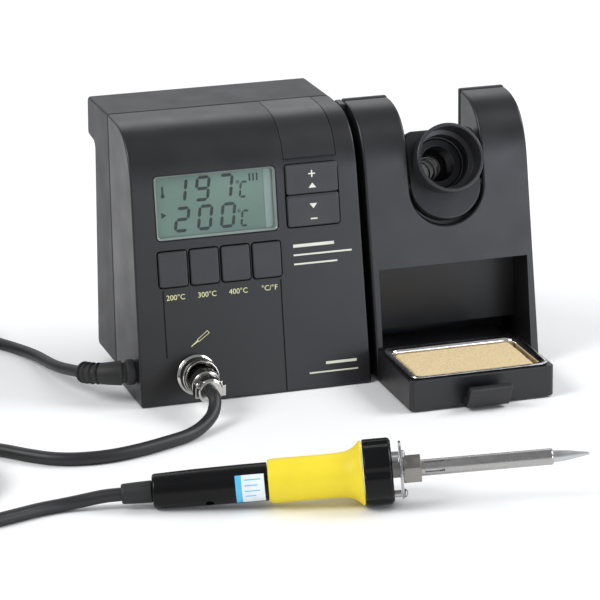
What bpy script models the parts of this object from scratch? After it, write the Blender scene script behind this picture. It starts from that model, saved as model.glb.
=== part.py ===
"""Soldering iron station: a digital control unit with an iron stand beside it and a hand iron on its cord.

Frame: +X to the right, +Y to the rear, +Z up, metres. The origin is under the middle of the station and
the iron together, on the surface that they rest on. Pieces are laid out in the station's own coordinates,
which start at the lower left front corner of the control unit, and an empty carries them to the origin.
"""

import math

import bmesh
import bpy
from mathutils import Matrix, Vector

MM = 0.001
GAP = 0.3 * MM  # clearance between neighbouring solids

# Control unit
UNIT_WIDTH = 115 * MM
UNIT_HEIGHT = 130 * MM
WALL = 2.5 * MM
FACE_LEAN = 0.147  # how far the front face leans back for each unit of height
FACE_ANGLE = math.atan(FACE_LEAN)
FACE_STRAIGHT = 100 * MM  # height where the flat of the front face turns into the curved brow
BROW_END = (44 * MM, 129.5 * MM)
TOP_SLOPE = 0.037  # the top rises a little from the brow to the seam
SEAM_FOOT = 46.5 * MM  # depth of the seam between front shell and rear housing at z = 0
SEAM_TOP = 57.5 * MM
HOUSING_DEPTH = 84 * MM
HOUSING_TOP_DEPTH = 98 * MM
HOUSING_STEP = 110 * MM
HOUSING_FOOT = 7 * MM
SIDE_DRAFT = 0.015

# Iron stand
STAND_LEFT = 118.6 * MM
STAND_WIDTH = 83.5 * MM
STAND_DEPTH = 46 * MM
STAND_COVER = 3.6 * MM
SLOT_CENTRE = 158.2 * MM
SLOT_RADIUS = 18.75 * MM
SLOT_FLOOR = 72.5 * MM
CAVITY = ((121.6 * MM, 198 * MM), (-5 * MM, 27 * MM), (-5 * MM, 54 * MM))

# Base plate, with the bridge that reaches from the control unit to the stand
BASE_LOW = 4 * MM
BASE_HIGH = 6.7 * MM
BRIDGE_FRONT = 31 * MM
BRIDGE_REAR = 45 * MM
BRIDGE_NOTCH = (
    (UNIT_WIDTH - 5 * MM, STAND_LEFT + 5 * MM),
    (BRIDGE_FRONT - GAP, BRIDGE_REAR + GAP),
    (-5 * MM, BASE_HIGH + GAP),
)

# Power switch in the rear wall
SWITCH_X = (21 * MM, 34 * MM)
SWITCH_Z = (24 * MM, 43.2 * MM)
ROCKER_REST = math.radians(-7)

# Panel, in face coordinates: x across, s up the face
WINDOW = (12.9 * MM, 72.3 * MM, 79.2 * MM, 109.6 * MM)
PRESET_FIRST = 19.5 * MM
PRESET_PITCH = 15.45 * MM
PRESET_SIZE = (13.9 * MM, 16.9 * MM)
PRESET_MIDDLE = 65.3 * MM
STEP_KEYS = (77.3 * MM, 103.2 * MM, 79.6 * MM, 109.6 * MM)
KEY_PROUD = 1.0 * MM
TRIM_START = 111 * MM
TRIM_DEPTH = 1.2 * MM
BOARD_DEPTH = 9 * MM

# Iron connector, in face coordinates
SOCKET = (27.7 * MM, 13.9 * MM)
DROOP_START = 8 * MM  # how far out the plug starts to hang down under its cord
DROOP = math.radians(13.4)

# Mains outlet on the left side
OUTLET = (11 * MM, 15.3 * MM)
MAINS_DIAMETER = 5.6 * MM
IRON_CORD_DIAMETER = 6 * MM

# Iron holder, turning on two pins
HOLDER_PIVOT = (18.6 * MM, 91.25 * MM)
HOLDER_TILT = math.radians(23)
BORE_ABOVE_PIVOT = 10.2 * MM
CUP_RADIUS = 16.9 * MM

# Tray with its dish and sponge
TRAY = ((117.8 * MM, 190.4 * MM), (-48.5 * MM, -0.4 * MM), (0.8 * MM, 16 * MM))
TRAY_WALL = 2.4 * MM
DISH_RIM = (119.4 * MM, 188.6 * MM, -47.6 * MM, -1.2 * MM)
DISH_TOP = 17.2 * MM
SPONGE = ((124.6 * MM, 183.4 * MM), (-42.6 * MM, -5.4 * MM), (7.0 * MM, 15.4 * MM))

# Hand iron, lying in front
IRON_FLANGE = (65.7 * MM, -154.6 * MM)
IRON_YAW = math.radians(-16.6)
IRON_PITCH = math.radians(4.3)
FLANGE_RADIUS = 14.55 * MM
FLANGE_HALF = 6.2 * MM
HANDLE_REAR = -98.3 * MM
TIP_END = 92.5 * MM
SLEEVE_END = -112 * MM

# Coils: the middle of each ring, and the radius of the middle of its turns
IRON_COIL = (-127.6 * MM, -69 * MM)
IRON_COIL_RADIUS = 33 * MM
MAINS_COIL = (-89.9 * MM, 125.2 * MM)
MAINS_COIL_RADIUS = 30.5 * MM
PLUG = (-126 * MM, 75.6 * MM, 6.6 * MM)

# Routes of the strain relief and of the cords where they aren't coiled
RELIEF_ROUTE = (
    (4.5 * MM, 11 * MM, 15.3 * MM),
    (-0.3 * MM, 11 * MM, 15.3 * MM),
    (-7 * MM, 11.6 * MM, 15.3 * MM),
    (-13.5 * MM, 14 * MM, 15 * MM),
    (-19 * MM, 18.5 * MM, 14.3 * MM),
    (-22.3 * MM, 24.5 * MM, 13.4 * MM),
)
MAINS_ROUTE = (
    (-22.9 * MM, 25.8 * MM, 13.1 * MM),
    (-26.2 * MM, 34 * MM, 11.9 * MM),
    (-28.8 * MM, 43.8 * MM, 10.3 * MM),
    (-30.2 * MM, 56 * MM, 8.3 * MM),
    (-30.9 * MM, 68 * MM, 6.5 * MM),
    (-31.9 * MM, 79.5 * MM, 5 * MM),
    (-34.1 * MM, 91 * MM, 3.7 * MM),
    (-37.8 * MM, 101.8 * MM, 2.9 * MM),
    (-42.9 * MM, 111.2 * MM, 2.8 * MM),
    (-48.6 * MM, 121.4 * MM, 2.8 * MM),
)
IRON_CORD_OUT_ROUTE = (
    (27.7 * MM, -25.9 * MM, 13.1 * MM),
    (27.7 * MM, -29.6 * MM, 12.4 * MM),
    (27 * MM, -32.4 * MM, 9.4 * MM),
    (23.8 * MM, -37.4 * MM, 6.2 * MM),
    (16.8 * MM, -44.4 * MM, 3.9 * MM),
    (8.2 * MM, -50.6 * MM, 3 * MM),
    (-4.5 * MM, -56.6 * MM, 3 * MM),
    (-17 * MM, -61.4 * MM, 3 * MM),
    (-31 * MM, -64.6 * MM, 3 * MM),
    (-45 * MM, -64 * MM, 3 * MM),
    (-56.5 * MM, -59.8 * MM, 3 * MM),
    (-66.5 * MM, -51.5 * MM, 3 * MM),
    (-76 * MM, -41.5 * MM, 3 * MM),
    (-87 * MM, -32.5 * MM, 3 * MM),
    (-100 * MM, -28.8 * MM, 3 * MM),
    (-113 * MM, -30 * MM, 3 * MM),
)
IRON_CORD_IN_ROUTE = (
    (-42.2 * MM, -122.6 * MM, 6.5 * MM),
    (-49 * MM, -120.6 * MM, 5.8 * MM),
    (-57.5 * MM, -118.6 * MM, 4.2 * MM),
    (-67 * MM, -118 * MM, 3.1 * MM),
    (-77 * MM, -119.6 * MM, 3 * MM),
    (-88 * MM, -123 * MM, 3 * MM),
    (-103 * MM, -127.5 * MM, 3 * MM),
    (-120 * MM, -129.5 * MM, 3 * MM),
    (-138 * MM, -126 * MM, 3 * MM),
    (-152 * MM, -117 * MM, 3 * MM),
    (-161 * MM, -104 * MM, 3.4 * MM),
    (-163.6 * MM, -90.1 * MM, 5.9 * MM),
)

# The origin is at the middle of the station and iron's box
ORIGIN = ((202.1 - 42.6) / 2 * MM, (98 - 181.4) / 2 * MM)

FACE_FRAME = Matrix(((1, 0, 0), (0, 0, -1), (0, 1, 0))).to_4x4()  # outline x, y and depth to x, z and -y
SIDE_FRAME = Matrix(((0, 0, 1), (1, 0, 0), (0, 1, 0))).to_4x4()  # outline x, y and depth to y, z and x


# ---------------------------------------------------------------- scene and materials


def clear_scene():
    for obj in list(bpy.data.objects):
        bpy.data.objects.remove(obj, do_unlink=True)


def new_collection(name):
    collection = bpy.data.collections.new(name)
    bpy.context.scene.collection.children.link(collection)
    return collection


def new_material(name, colour, roughness, metallic=0.0):
    material = bpy.data.materials.new(name)
    material.use_nodes = True
    shader = material.node_tree.nodes["Principled BSDF"]
    shader.inputs["Base Color"].default_value = (*colour, 1)
    shader.inputs["Roughness"].default_value = roughness
    shader.inputs["Metallic"].default_value = metallic
    material.diffuse_color = (*colour, 1)
    return material


clear_scene()
PARTS = new_collection("soldering_station")
CUTTERS = new_collection("cutters")

CASE_BLACK = new_material("case_black", (0.020, 0.020, 0.023), 0.42)
COVER_BLACK = new_material("cover_black", (0.024, 0.024, 0.027), 0.50)
KEY_BLACK = new_material("key_black", (0.030, 0.030, 0.033), 0.45)
WINDOW_CLEAR = new_material("window_clear", (0.80, 0.86, 0.84), 0.08)
DISPLAY_GREY = new_material("display_grey", (0.33, 0.43, 0.38), 0.35)
BOARD_GREEN = new_material("board_green", (0.03, 0.16, 0.07), 0.50)
CORE_STEEL = new_material("core_steel", (0.28, 0.28, 0.30), 0.45, 0.8)
COIL_COPPER = new_material("coil_copper", (0.55, 0.27, 0.12), 0.40, 0.6)
FOOT_RUBBER = new_material("foot_rubber", (0.015, 0.015, 0.015), 0.85)
CORD_BLACK = new_material("cord_black", (0.018, 0.018, 0.020), 0.55)
CHROME = new_material("chrome", (0.75, 0.75, 0.77), 0.12, 1.0)
STEEL = new_material("steel", (0.62, 0.62, 0.64), 0.25, 1.0)
HOLDER_BLACK = new_material("holder_black", (0.035, 0.035, 0.038), 0.35)
SPONGE_TAN = new_material("sponge_tan", (0.75, 0.58, 0.34), 0.95)
GRIP_YELLOW = new_material("grip_yellow", (0.95, 0.74, 0.03), 0.60)
CERAMIC = new_material("ceramic", (0.86, 0.84, 0.80), 0.60)
TIP_PLATED = new_material("tip_plated", (0.72, 0.72, 0.72), 0.30, 0.9)


# ---------------------------------------------------------------- building tools


def new_empty(name, location, rotation=(0, 0, 0), parent=None):
    empty = bpy.data.objects.new(name, None)
    empty.location = location
    empty.rotation_euler = rotation
    empty.empty_display_size = 10 * MM
    empty.parent = parent
    PARTS.objects.link(empty)
    return empty


def add_piece(name, mesh, material, parent, location=(0, 0, 0), rotation=(0, 0, 0)):
    """Puts a mesh in the scene as one sub-part, shaded smooth with its real edges kept sharp."""
    piece = bpy.data.objects.new(name, mesh)
    piece.location = location
    piece.rotation_euler = rotation
    piece.parent = parent
    mesh.materials.clear()
    mesh.materials.append(material)
    if mesh.polygons:
        mesh.shade_smooth()
        mesh.set_sharp_from_angle(angle=math.radians(35))
    PARTS.objects.link(piece)
    return piece


def add_cutter(name, mesh, parent, location=(0, 0, 0), rotation=(0, 0, 0)):
    cutter = bpy.data.objects.new(name, mesh)
    cutter.location = location
    cutter.rotation_euler = rotation
    cutter.parent = parent
    cutter.hide_render = True
    cutter.display_type = "WIRE"
    CUTTERS.objects.link(cutter)
    return cutter


def boolean(piece, tool, operation="DIFFERENCE", solver="EXACT"):
    modifier = piece.modifiers.new(operation.lower(), "BOOLEAN")
    modifier.operation = operation
    modifier.solver = solver
    modifier.object = tool
    return modifier


def cut(piece, *tools, solver="EXACT"):
    for tool in tools:
        boolean(piece, tool, "DIFFERENCE", solver)


def bevel(piece, width, segments=2, angle=40):
    modifier = piece.modifiers.new("bevel", "BEVEL")
    modifier.width = width
    modifier.segments = segments
    modifier.limit_method = "ANGLE"
    modifier.angle_limit = math.radians(angle)
    return modifier


def block_mesh(name, *spans):
    """One mesh of boxes, each given as its spans ((x0, x1), (y0, y1), (z0, z1))."""
    bm = bmesh.new()
    for span in spans:
        middle = Vector([(low + high) / 2 for low, high in span])
        size = [high - low for low, high in span]
        place = Matrix.Translation(middle) @ Matrix.Diagonal((*size, 1))
        bmesh.ops.create_cube(bm, size=1, matrix=place)
    mesh = bpy.data.meshes.new(name)
    bm.to_mesh(mesh)
    bm.free()
    return mesh


def mesh_of_curve(name, curve, frame=Matrix()):
    """The curve's evaluated mesh, with its caps welded on, in the given frame."""
    guide = bpy.data.objects.new(name, curve)
    bpy.context.scene.collection.objects.link(guide)
    bpy.context.view_layer.update()
    evaluated = guide.evaluated_get(bpy.context.evaluated_depsgraph_get())
    mesh = bpy.data.meshes.new_from_object(evaluated)
    bpy.data.objects.remove(guide)
    bpy.data.curves.remove(curve)
    bm = bmesh.new()
    bm.from_mesh(mesh)
    bmesh.ops.remove_doubles(bm, verts=bm.verts, dist=0.002 * MM)
    bmesh.ops.recalc_face_normals(bm, faces=bm.faces)
    bm.transform(frame)
    bm.to_mesh(mesh)
    bm.free()
    return mesh


def add_spline(curve, points, cyclic=False, radii=None):
    spline = curve.splines.new("POLY")
    spline.points.add(len(points) - 1)
    for index, point in enumerate(points):
        spline.points[index].co = (*point, 0, 1) if len(point) == 2 else (*point, 1)
        spline.points[index].radius = radii[index] if radii else 1
    spline.use_cyclic_u = cyclic


def plate_mesh(name, outline, thickness, frame=Matrix(), holes=()):
    """A flat outline with thickness, centred on its own plane, then turned into the frame."""
    curve = bpy.data.curves.new(name, "CURVE")
    curve.dimensions = "2D"
    curve.fill_mode = "BOTH"
    curve.extrude = thickness / 2
    for loop in (outline, *holes):
        add_spline(curve, loop, cyclic=True)
    return mesh_of_curve(name, curve, frame)


def tube_mesh(name, points, diameter, resolution=3, radii=None):
    curve = bpy.data.curves.new(name, "CURVE")
    curve.dimensions = "3D"
    curve.bevel_depth = diameter / 2
    curve.bevel_resolution = resolution
    curve.use_fill_caps = True
    add_spline(curve, points, radii=radii)
    return mesh_of_curve(name, curve)


def add_turned(name, profile, material, parent, location=(0, 0, 0), rotation=(0, 0, 0), steps=32):
    """A profile of (radius, height) turned about Z. It runs down the outer side, top to bottom."""
    mesh = bpy.data.meshes.new(name)
    closed = profile[0][0] > 0 and profile[-1][0] > 0
    edges = [(i, i + 1) for i in range(len(profile) - 1)]
    if closed:
        edges.append((len(profile) - 1, 0))
    mesh.from_pydata([(radius, 0, height) for radius, height in profile], edges, [])
    if material is None:
        piece = add_cutter(name, mesh, parent, location, rotation)
    else:
        piece = add_piece(name, mesh, material, parent, location, rotation)
    screw = piece.modifiers.new("turn", "SCREW")
    screw.axis = "Z"
    screw.steps = steps
    screw.render_steps = steps
    screw.use_smooth_shade = True
    screw.use_merge_vertices = True
    screw.merge_threshold = 0.005 * MM
    return piece


def turned_cutter(name, profile, parent, location=(0, 0, 0), rotation=(0, 0, 0), steps=32):
    return add_turned(name, profile, None, parent, location, rotation, steps)


def cylinder_profile(radius, low, high):
    return [(0, high), (radius, high), (radius, low), (0, low)]


def ring_profile(outer, inner, low, high):
    return [(inner, high), (outer, high), (outer, low), (inner, low)]


def arc(centre, radius, start, end, count):
    """Points on an arc from start to end, in degrees."""
    angles = [math.radians(start + (end - start) * i / (count - 1)) for i in range(count)]
    return [(centre[0] + radius * math.cos(a), centre[1] + radius * math.sin(a)) for a in angles]


def rounded_rectangle(x0, x1, y0, y1, radius, count=5):
    corners = (
        ((x1 - radius, y0 + radius), -90),
        ((x1 - radius, y1 - radius), 0),
        ((x0 + radius, y1 - radius), 90),
        ((x0 + radius, y0 + radius), 180),
    )
    return [p for centre, start in corners for p in arc(centre, radius, start, start + 90, count)]


def smooth_route(points, spacing):
    """Evenly spaced points on one smooth curve through the route's points."""
    route = [Vector(p) for p in points]
    ends = [2 * route[0] - route[1], *route, 2 * route[-1] - route[-2]]
    fine = []
    for a, b, c, d in zip(ends, ends[1:], ends[2:], ends[3:]):
        for i in range(24):
            t = i / 24
            fine.append(
                0.5 * (2 * b + (c - a) * t + (2 * a - 5 * b + 4 * c - d) * t**2)
                + 0.5 * (3 * b - a - 3 * c + d) * t**3
            )
    fine.append(route[-1])
    lengths = [0.0]
    for a, b in zip(fine, fine[1:]):
        lengths.append(lengths[-1] + (b - a).length)
    count = max(2, round(lengths[-1] / spacing))
    out = []
    step = 0
    for i in range(count + 1):
        at = lengths[-1] * i / count
        while step < len(fine) - 2 and lengths[step + 1] < at:
            step += 1
        share = (at - lengths[step]) / max(lengths[step + 1] - lengths[step], 1e-12)
        out.append(tuple(fine[step].lerp(fine[step + 1], share)))
    return out


# ---------------------------------------------------------------- the case's side outline


def front_profile(inset=0.0, low=0.0, end=None):
    """The front face and brow seen from the side, as (y, z) from the foot up, moved inwards by inset."""
    top = (FACE_LEAN * FACE_STRAIGHT, FACE_STRAIGHT)
    handles = (
        (top[0] + FACE_LEAN * 19 * MM, top[1] + 19 * MM),
        (BROW_END[0] - 18 * MM, BROW_END[1] - 18 * MM * TOP_SLOPE),
    )
    curve = (top, *handles, BROW_END)
    points = [((FACE_LEAN * low, low), (FACE_LEAN, 1))]
    for i in range(13):
        t = i / 12
        u = 1 - t
        weights = (u**3, 3 * u * u * t, 3 * u * t * t, t**3)
        place = [sum(w * p[k] for w, p in zip(weights, curve)) for k in (0, 1)]
        slopes = (u * u, 2 * u * t, t * t)
        along = [sum(w * (b[k] - a[k]) for w, a, b in zip(slopes, curve, curve[1:])) for k in (0, 1)]
        points.append((place, along))
    last = end if end is not None else SEAM_TOP
    points.append(((last, BROW_END[1] + TOP_SLOPE * (last - BROW_END[0])), (1, TOP_SLOPE)))
    outline = []
    for (y, z), (dy, dz) in points:
        size = math.hypot(dy, dz)
        outline.append((y + inset * dz / size, z - inset * dy / size))
    return outline


def seam_depth(z):
    return SEAM_FOOT + (SEAM_TOP - SEAM_FOOT) * z / UNIT_HEIGHT


def lean_sides(mesh, centre, left, right):
    """Leans the two sides: left and right are each side's move in +X for each unit of height."""
    half = max(abs(v.co.x - centre) for v in mesh.vertices)
    for v in mesh.vertices:
        share = (v.co.x - centre) / half
        v.co.x += v.co.z * (left * (1 - share) + right * (1 + share)) / 2


def side_solid(name, outline, x0, x1, left, right):
    frame = Matrix.Translation(((x0 + x1) / 2, 0, 0)) @ SIDE_FRAME
    mesh = plate_mesh(name, outline, x1 - x0, frame)
    lean_sides(mesh, (x0 + x1) / 2, left, right)
    return mesh


# ---------------------------------------------------------------- control unit


def front_shell(layout, panel):
    outline = front_profile(low=1 * MM) + [(seam_depth(1 * MM), 1 * MM)]
    mesh = side_solid("front_shell", outline, 0, UNIT_WIDTH, SIDE_DRAFT, -SIDE_DRAFT)
    shell = add_piece("front_shell", mesh, CASE_BLACK, layout)
    bevel(shell, 1.2 * MM, 2)
    inner = front_profile(inset=WALL, low=-5 * MM, end=80 * MM) + [(80 * MM, -5 * MM)]
    hollow = side_solid("hollow", inner, WALL, UNIT_WIDTH - WALL, SIDE_DRAFT, -SIDE_DRAFT)
    cut(shell, add_cutter("shell_hollow", hollow, layout))
    openings = [WINDOW, STEP_KEYS, *(preset_rectangle(index) for index in range(4))]
    for index, opening in enumerate(openings):
        outline = rounded_rectangle(*grown(opening, GAP), 1.6 * MM, 4)
        mesh = plate_mesh("opening", outline, 12 * MM, FACE_FRAME)
        cut(shell, add_cutter(f"panel_opening_{index + 1}", mesh, panel))
    cut(shell, trim_recess(layout))
    cut(shell, groove_cutter(panel), solver="MANIFOLD")
    hole = cylinder_profile(8.2 * MM, -10 * MM, 10 * MM)
    socket_hole = turned_cutter("socket_hole", hole, panel, socket_place(), (math.pi / 2, 0, 0))
    cut(shell, socket_hole, solver="MANIFOLD")
    hole = cylinder_profile(5.3 * MM, -6 * MM, 6 * MM)
    outlet_hole = turned_cutter("outlet_hole", hole, layout, (0, *OUTLET), (0, math.pi / 2, 0), 24)
    cut(shell, outlet_hole, solver="MANIFOLD")
    notch = add_cutter("shell_bridge_notch", block_mesh("bridge_notch", BRIDGE_NOTCH), layout)
    cut(shell, notch, solver="MANIFOLD")


def grown(rectangle, by):
    x0, x1, y0, y1 = rectangle
    return (x0 - by, x1 + by, y0 - by, y1 + by)


def preset_rectangle(index):
    middle = PRESET_FIRST + index * PRESET_PITCH
    half_width, half_height = (side / 2 for side in PRESET_SIZE)
    low, high = PRESET_MIDDLE - half_height, PRESET_MIDDLE + half_height
    return (middle - half_width, middle + half_width, low, high)


def socket_place():
    return (SOCKET[0], 0, SOCKET[1])


def trim_outline(outer, inner, low, end):
    """A band that follows the brow, from the step keys up to the seam."""
    front = [p for p in front_profile(outer, end=end) if p[1] > low]
    back = [p for p in front_profile(inner, end=end) if p[1] > low]
    slope = FACE_LEAN * low
    start = [(slope + outer, low), (slope + inner, low)]
    return [start[0], *front, *reversed(back), start[1]]


def trim_recess(layout):
    outline = trim_outline(-3 * MM, TRIM_DEPTH + GAP, TRIM_START - GAP, SEAM_TOP + 5 * MM)
    x0, x1 = STEP_KEYS[:2]
    frame = Matrix.Translation(((x0 + x1) / 2, 0, 0)) @ SIDE_FRAME
    return add_cutter("trim_recess", plate_mesh("recess", outline, x1 - x0 + 2 * GAP, frame), layout)


def trim_strip(layout):
    """The glossy strip over the brow above the step keys."""
    outline = trim_outline(0, TRIM_DEPTH, TRIM_START, SEAM_TOP - 0.5 * MM)
    x0, x1 = STEP_KEYS[:2]
    frame = Matrix.Translation(((x0 + x1) / 2, 0, 0)) @ SIDE_FRAME
    strip = add_piece("trim_strip", plate_mesh("trim_strip", outline, x1 - x0, frame), KEY_BLACK, layout)
    bevel(strip, 0.25 * MM, 1)


def groove_cutter(panel):
    """Fine grooves that frame the lower panel."""
    width, depth = 0.7 * MM, 0.7 * MM
    left, right = 13.6 * MM, 71.8 * MM
    spans = (
        ((left, left + width), (-1 * MM, depth), (23 * MM, 55.3 * MM)),
        ((right, right + width), (-1 * MM, depth), (-4 * MM, 55.3 * MM)),
    )
    return add_cutter("panel_grooves", block_mesh("grooves", *spans), panel)


def rear_housing(layout):
    foot = HOUSING_FOOT
    step = HOUSING_STEP
    top = UNIT_HEIGHT
    outline = [
        (seam_depth(foot) + GAP, foot),
        (HOUSING_DEPTH - 2 * MM, foot),
        (HOUSING_DEPTH, foot + 2 * MM),
        (HOUSING_DEPTH, step - 4 * MM),
        (HOUSING_DEPTH + 1.5 * MM, step - 1 * MM),
        (HOUSING_TOP_DEPTH - 1 * MM, step + 1 * MM),
        (HOUSING_TOP_DEPTH, step + 2.5 * MM),
        (HOUSING_TOP_DEPTH, top - 3 * MM),
        *arc((HOUSING_TOP_DEPTH - 3 * MM, top - 3 * MM), 3 * MM, 22, 90, 4),
        (seam_depth(top) + GAP, top),
    ]
    mesh = side_solid("rear_housing", outline, 0, UNIT_WIDTH, SIDE_DRAFT, -SIDE_DRAFT)
    housing = add_piece("rear_housing", mesh, COVER_BLACK, layout)
    bevel(housing, 1.2 * MM, 2)
    inner = [
        (30 * MM, 0),
        (HOUSING_DEPTH - WALL, 0),
        (HOUSING_DEPTH - WALL, step - 4 * MM),
        (HOUSING_DEPTH - 1 * MM, step + 2 * MM),
        (HOUSING_TOP_DEPTH - WALL, step + 3.6 * MM),
        (HOUSING_TOP_DEPTH - WALL, top - 4.5 * MM),
        (HOUSING_TOP_DEPTH - 4.5 * MM, top - WALL),
        (30 * MM, top - WALL),
    ]
    hollow = side_solid("hollow", inner, WALL, UNIT_WIDTH - WALL, SIDE_DRAFT, -SIDE_DRAFT)
    cut(housing, add_cutter("housing_hollow", hollow, layout))
    cut(housing, add_cutter("vents", vent_slots(), layout))
    opening = (grown_span(SWITCH_X, GAP), (70 * MM, 95 * MM), grown_span(SWITCH_Z, GAP))
    cut(housing, add_cutter("switch_opening", block_mesh("switch_opening", opening), layout))


def grown_span(span, by):
    return (span[0] - by, span[1] + by)


def vent_slots():
    spans = []
    for row in range(7):
        z = 58 * MM + row * 6 * MM
        spans.append(((32 * MM, 83 * MM), (75 * MM, 90 * MM), (z, z + 2.4 * MM)))
    return block_mesh("vents", *spans)


def power_switch(layout):
    """A rocker switch in the rear wall. The rocker turns on a pivot inside its frame."""
    rear = HOUSING_DEPTH
    frame_mesh = block_mesh("frame", (SWITCH_X, (rear - 14 * MM, rear + GAP), SWITCH_Z))
    frame = add_piece("switch_frame", frame_mesh, KEY_BLACK, layout)
    rim = (grown_span(SWITCH_X, 1 * MM), (rear + GAP, rear + 2 * MM), grown_span(SWITCH_Z, 1 * MM))
    boolean(frame, add_cutter("switch_rim", block_mesh("rim", rim), layout), "UNION")
    well = block_mesh("well", ((22.6 * MM, 32.4 * MM), (rear - 8 * MM, rear + 5 * MM), (26 * MM, 41.2 * MM)))
    cut(frame, add_cutter("switch_well", well, layout))
    outline = [
        (-6.6 * MM, 3.2 * MM),
        (-6.9 * MM, -0.6 * MM),
        (-4.2 * MM, -4 * MM),
        (4.2 * MM, -4 * MM),
        (6.9 * MM, -0.6 * MM),
        (6.6 * MM, 3.2 * MM),
        (0, 1.9 * MM),
    ]
    frame_turn = Matrix(((0, 0, 1), (0, 1, 0), (-1, 0, 0))).to_4x4()
    mesh = plate_mesh("power_rocker", outline, 9 * MM, frame_turn)
    place = (27.5 * MM, rear - 1.6 * MM, 33.6 * MM)
    rocker = add_piece("power_rocker", mesh, KEY_BLACK, layout, place, (ROCKER_REST, 0, 0))
    bevel(rocker, 0.3 * MM, 1)


def display(panel):
    """The clear window in the shell and the display module behind it."""
    outline = rounded_rectangle(*WINDOW, 1.3 * MM, 4)
    mesh = plate_mesh("display_window", outline, 1.5 * MM, FACE_FRAME)
    add_piece("display_window", mesh, WINDOW_CLEAR, panel, (0, 1.6 * MM, 0))
    x0, x1, low, high = grown(WINDOW, 1.5 * MM)
    mesh = block_mesh("display_module", ((x0, x1), (WALL + 1.7 * MM, WALL + 5.7 * MM), (low, high)))
    bevel(add_piece("display_module", mesh, DISPLAY_GREY, panel), 0.3 * MM, 1)


def key_mesh(name, width, height, radius):
    """A key cap, with its axis of travel along Y."""
    outline = rounded_rectangle(-width / 2, width / 2, -height / 2, height / 2, radius, 4)
    return plate_mesh(name, outline, 6 * MM + KEY_PROUD, FACE_FRAME)


def preset_keys(panel):
    for index, name in enumerate(("key_200", "key_300", "key_400", "key_unit")):
        place = (PRESET_FIRST + index * PRESET_PITCH, (6 * MM - KEY_PROUD) / 2, PRESET_MIDDLE)
        mesh = key_mesh(name, *PRESET_SIZE, 1.3 * MM)
        bevel(add_piece(name, mesh, KEY_BLACK, panel, place), 0.35 * MM, 1)


def step_keys(panel):
    x0, x1, low, high = STEP_KEYS
    split = 95 * MM
    for name, bottom, top in (("key_down", low, split - GAP), ("key_up", split + GAP, high)):
        place = ((x0 + x1) / 2, (6 * MM - KEY_PROUD) / 2, (bottom + top) / 2)
        mesh = key_mesh(name, x1 - x0, top - bottom, 1.3 * MM)
        bevel(add_piece(name, mesh, KEY_BLACK, panel, place), 0.35 * MM, 1)


def control_board(panel):
    board = ((8 * MM, 107 * MM), (BOARD_DEPTH, BOARD_DEPTH + 1.6 * MM), (42 * MM, 110 * MM))
    add_piece("control_board", block_mesh("control_board", board), BOARD_GREEN, panel)


def transformer(layout):
    """Laminated core with its winding on the middle leg, standing on the base plate."""
    centre = (62 * MM, 56 * MM)
    low = BASE_HIGH + GAP
    half = 26 * MM
    x = (centre[0] - half, centre[0] + half)
    stack = (x, (centre[1] - 10 * MM, centre[1] + 10 * MM), (low, low + 44 * MM))
    core = add_piece("transformer_core", block_mesh("transformer_core", stack), CORE_STEEL, layout)
    windows = []
    for side in (-1, 1):
        near, far = sorted((centre[0] + side * 9 * MM, centre[0] + side * 18 * MM))
        windows.append(((near, far), (30 * MM, 80 * MM), (low + 8 * MM, low + 36 * MM)))
    cut(core, add_cutter("core_windows", block_mesh("windows", *windows), layout))
    outline = rounded_rectangle(-17.4 * MM, 17.4 * MM, -19 * MM, 19 * MM, 5 * MM, 4)
    hole = rounded_rectangle(-9.4 * MM, 9.4 * MM, -10.4 * MM, 10.4 * MM, 0.4 * MM, 2)
    mesh = plate_mesh("transformer_winding", outline, 27 * MM, holes=[hole])
    add_piece("transformer_winding", mesh, COIL_COPPER, layout, (*centre, low + 22 * MM))


def base_plate(layout):
    """One plate under the control unit and the rear of the stand, which joins the two."""
    edge = WALL + 2 * GAP
    outline = [
        (edge, 11.5 * MM),
        (UNIT_WIDTH - edge, 11.5 * MM),
        (UNIT_WIDTH - edge, BRIDGE_FRONT),
        (STAND_LEFT + STAND_WIDTH - edge, BRIDGE_FRONT),
        (STAND_LEFT + STAND_WIDTH - edge, BRIDGE_REAR),
        (UNIT_WIDTH - edge, BRIDGE_REAR),
        (UNIT_WIDTH - edge, HOUSING_DEPTH - 1 * MM),
        (edge, HOUSING_DEPTH - 1 * MM),
    ]
    mesh = plate_mesh("base_plate", outline, BASE_HIGH - BASE_LOW)
    plate = add_piece("base_plate", mesh, COVER_BLACK, layout, (0, 0, (BASE_HIGH + BASE_LOW) / 2))
    bevel(plate, 0.3 * MM, 1)


def feet(layout):
    profile = [(0, BASE_LOW - GAP), (6.5 * MM, BASE_LOW - GAP), (6 * MM, 0.4 * MM), (5.5 * MM, 0), (0, 0)]
    places = (
        ("foot_front_left", 12, 20),
        ("foot_front_right", 103, 20),
        ("foot_rear_left", 12, 74),
        ("foot_rear_right", 103, 74),
        ("foot_stand_left", 128, 38),
        ("foot_stand_right", 192, 38),
    )
    for name, x, y in places:
        add_turned(name, profile, FOOT_RUBBER, layout, (x * MM, y * MM, 0), steps=24)


# ---------------------------------------------------------------- connector and strain relief


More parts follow.
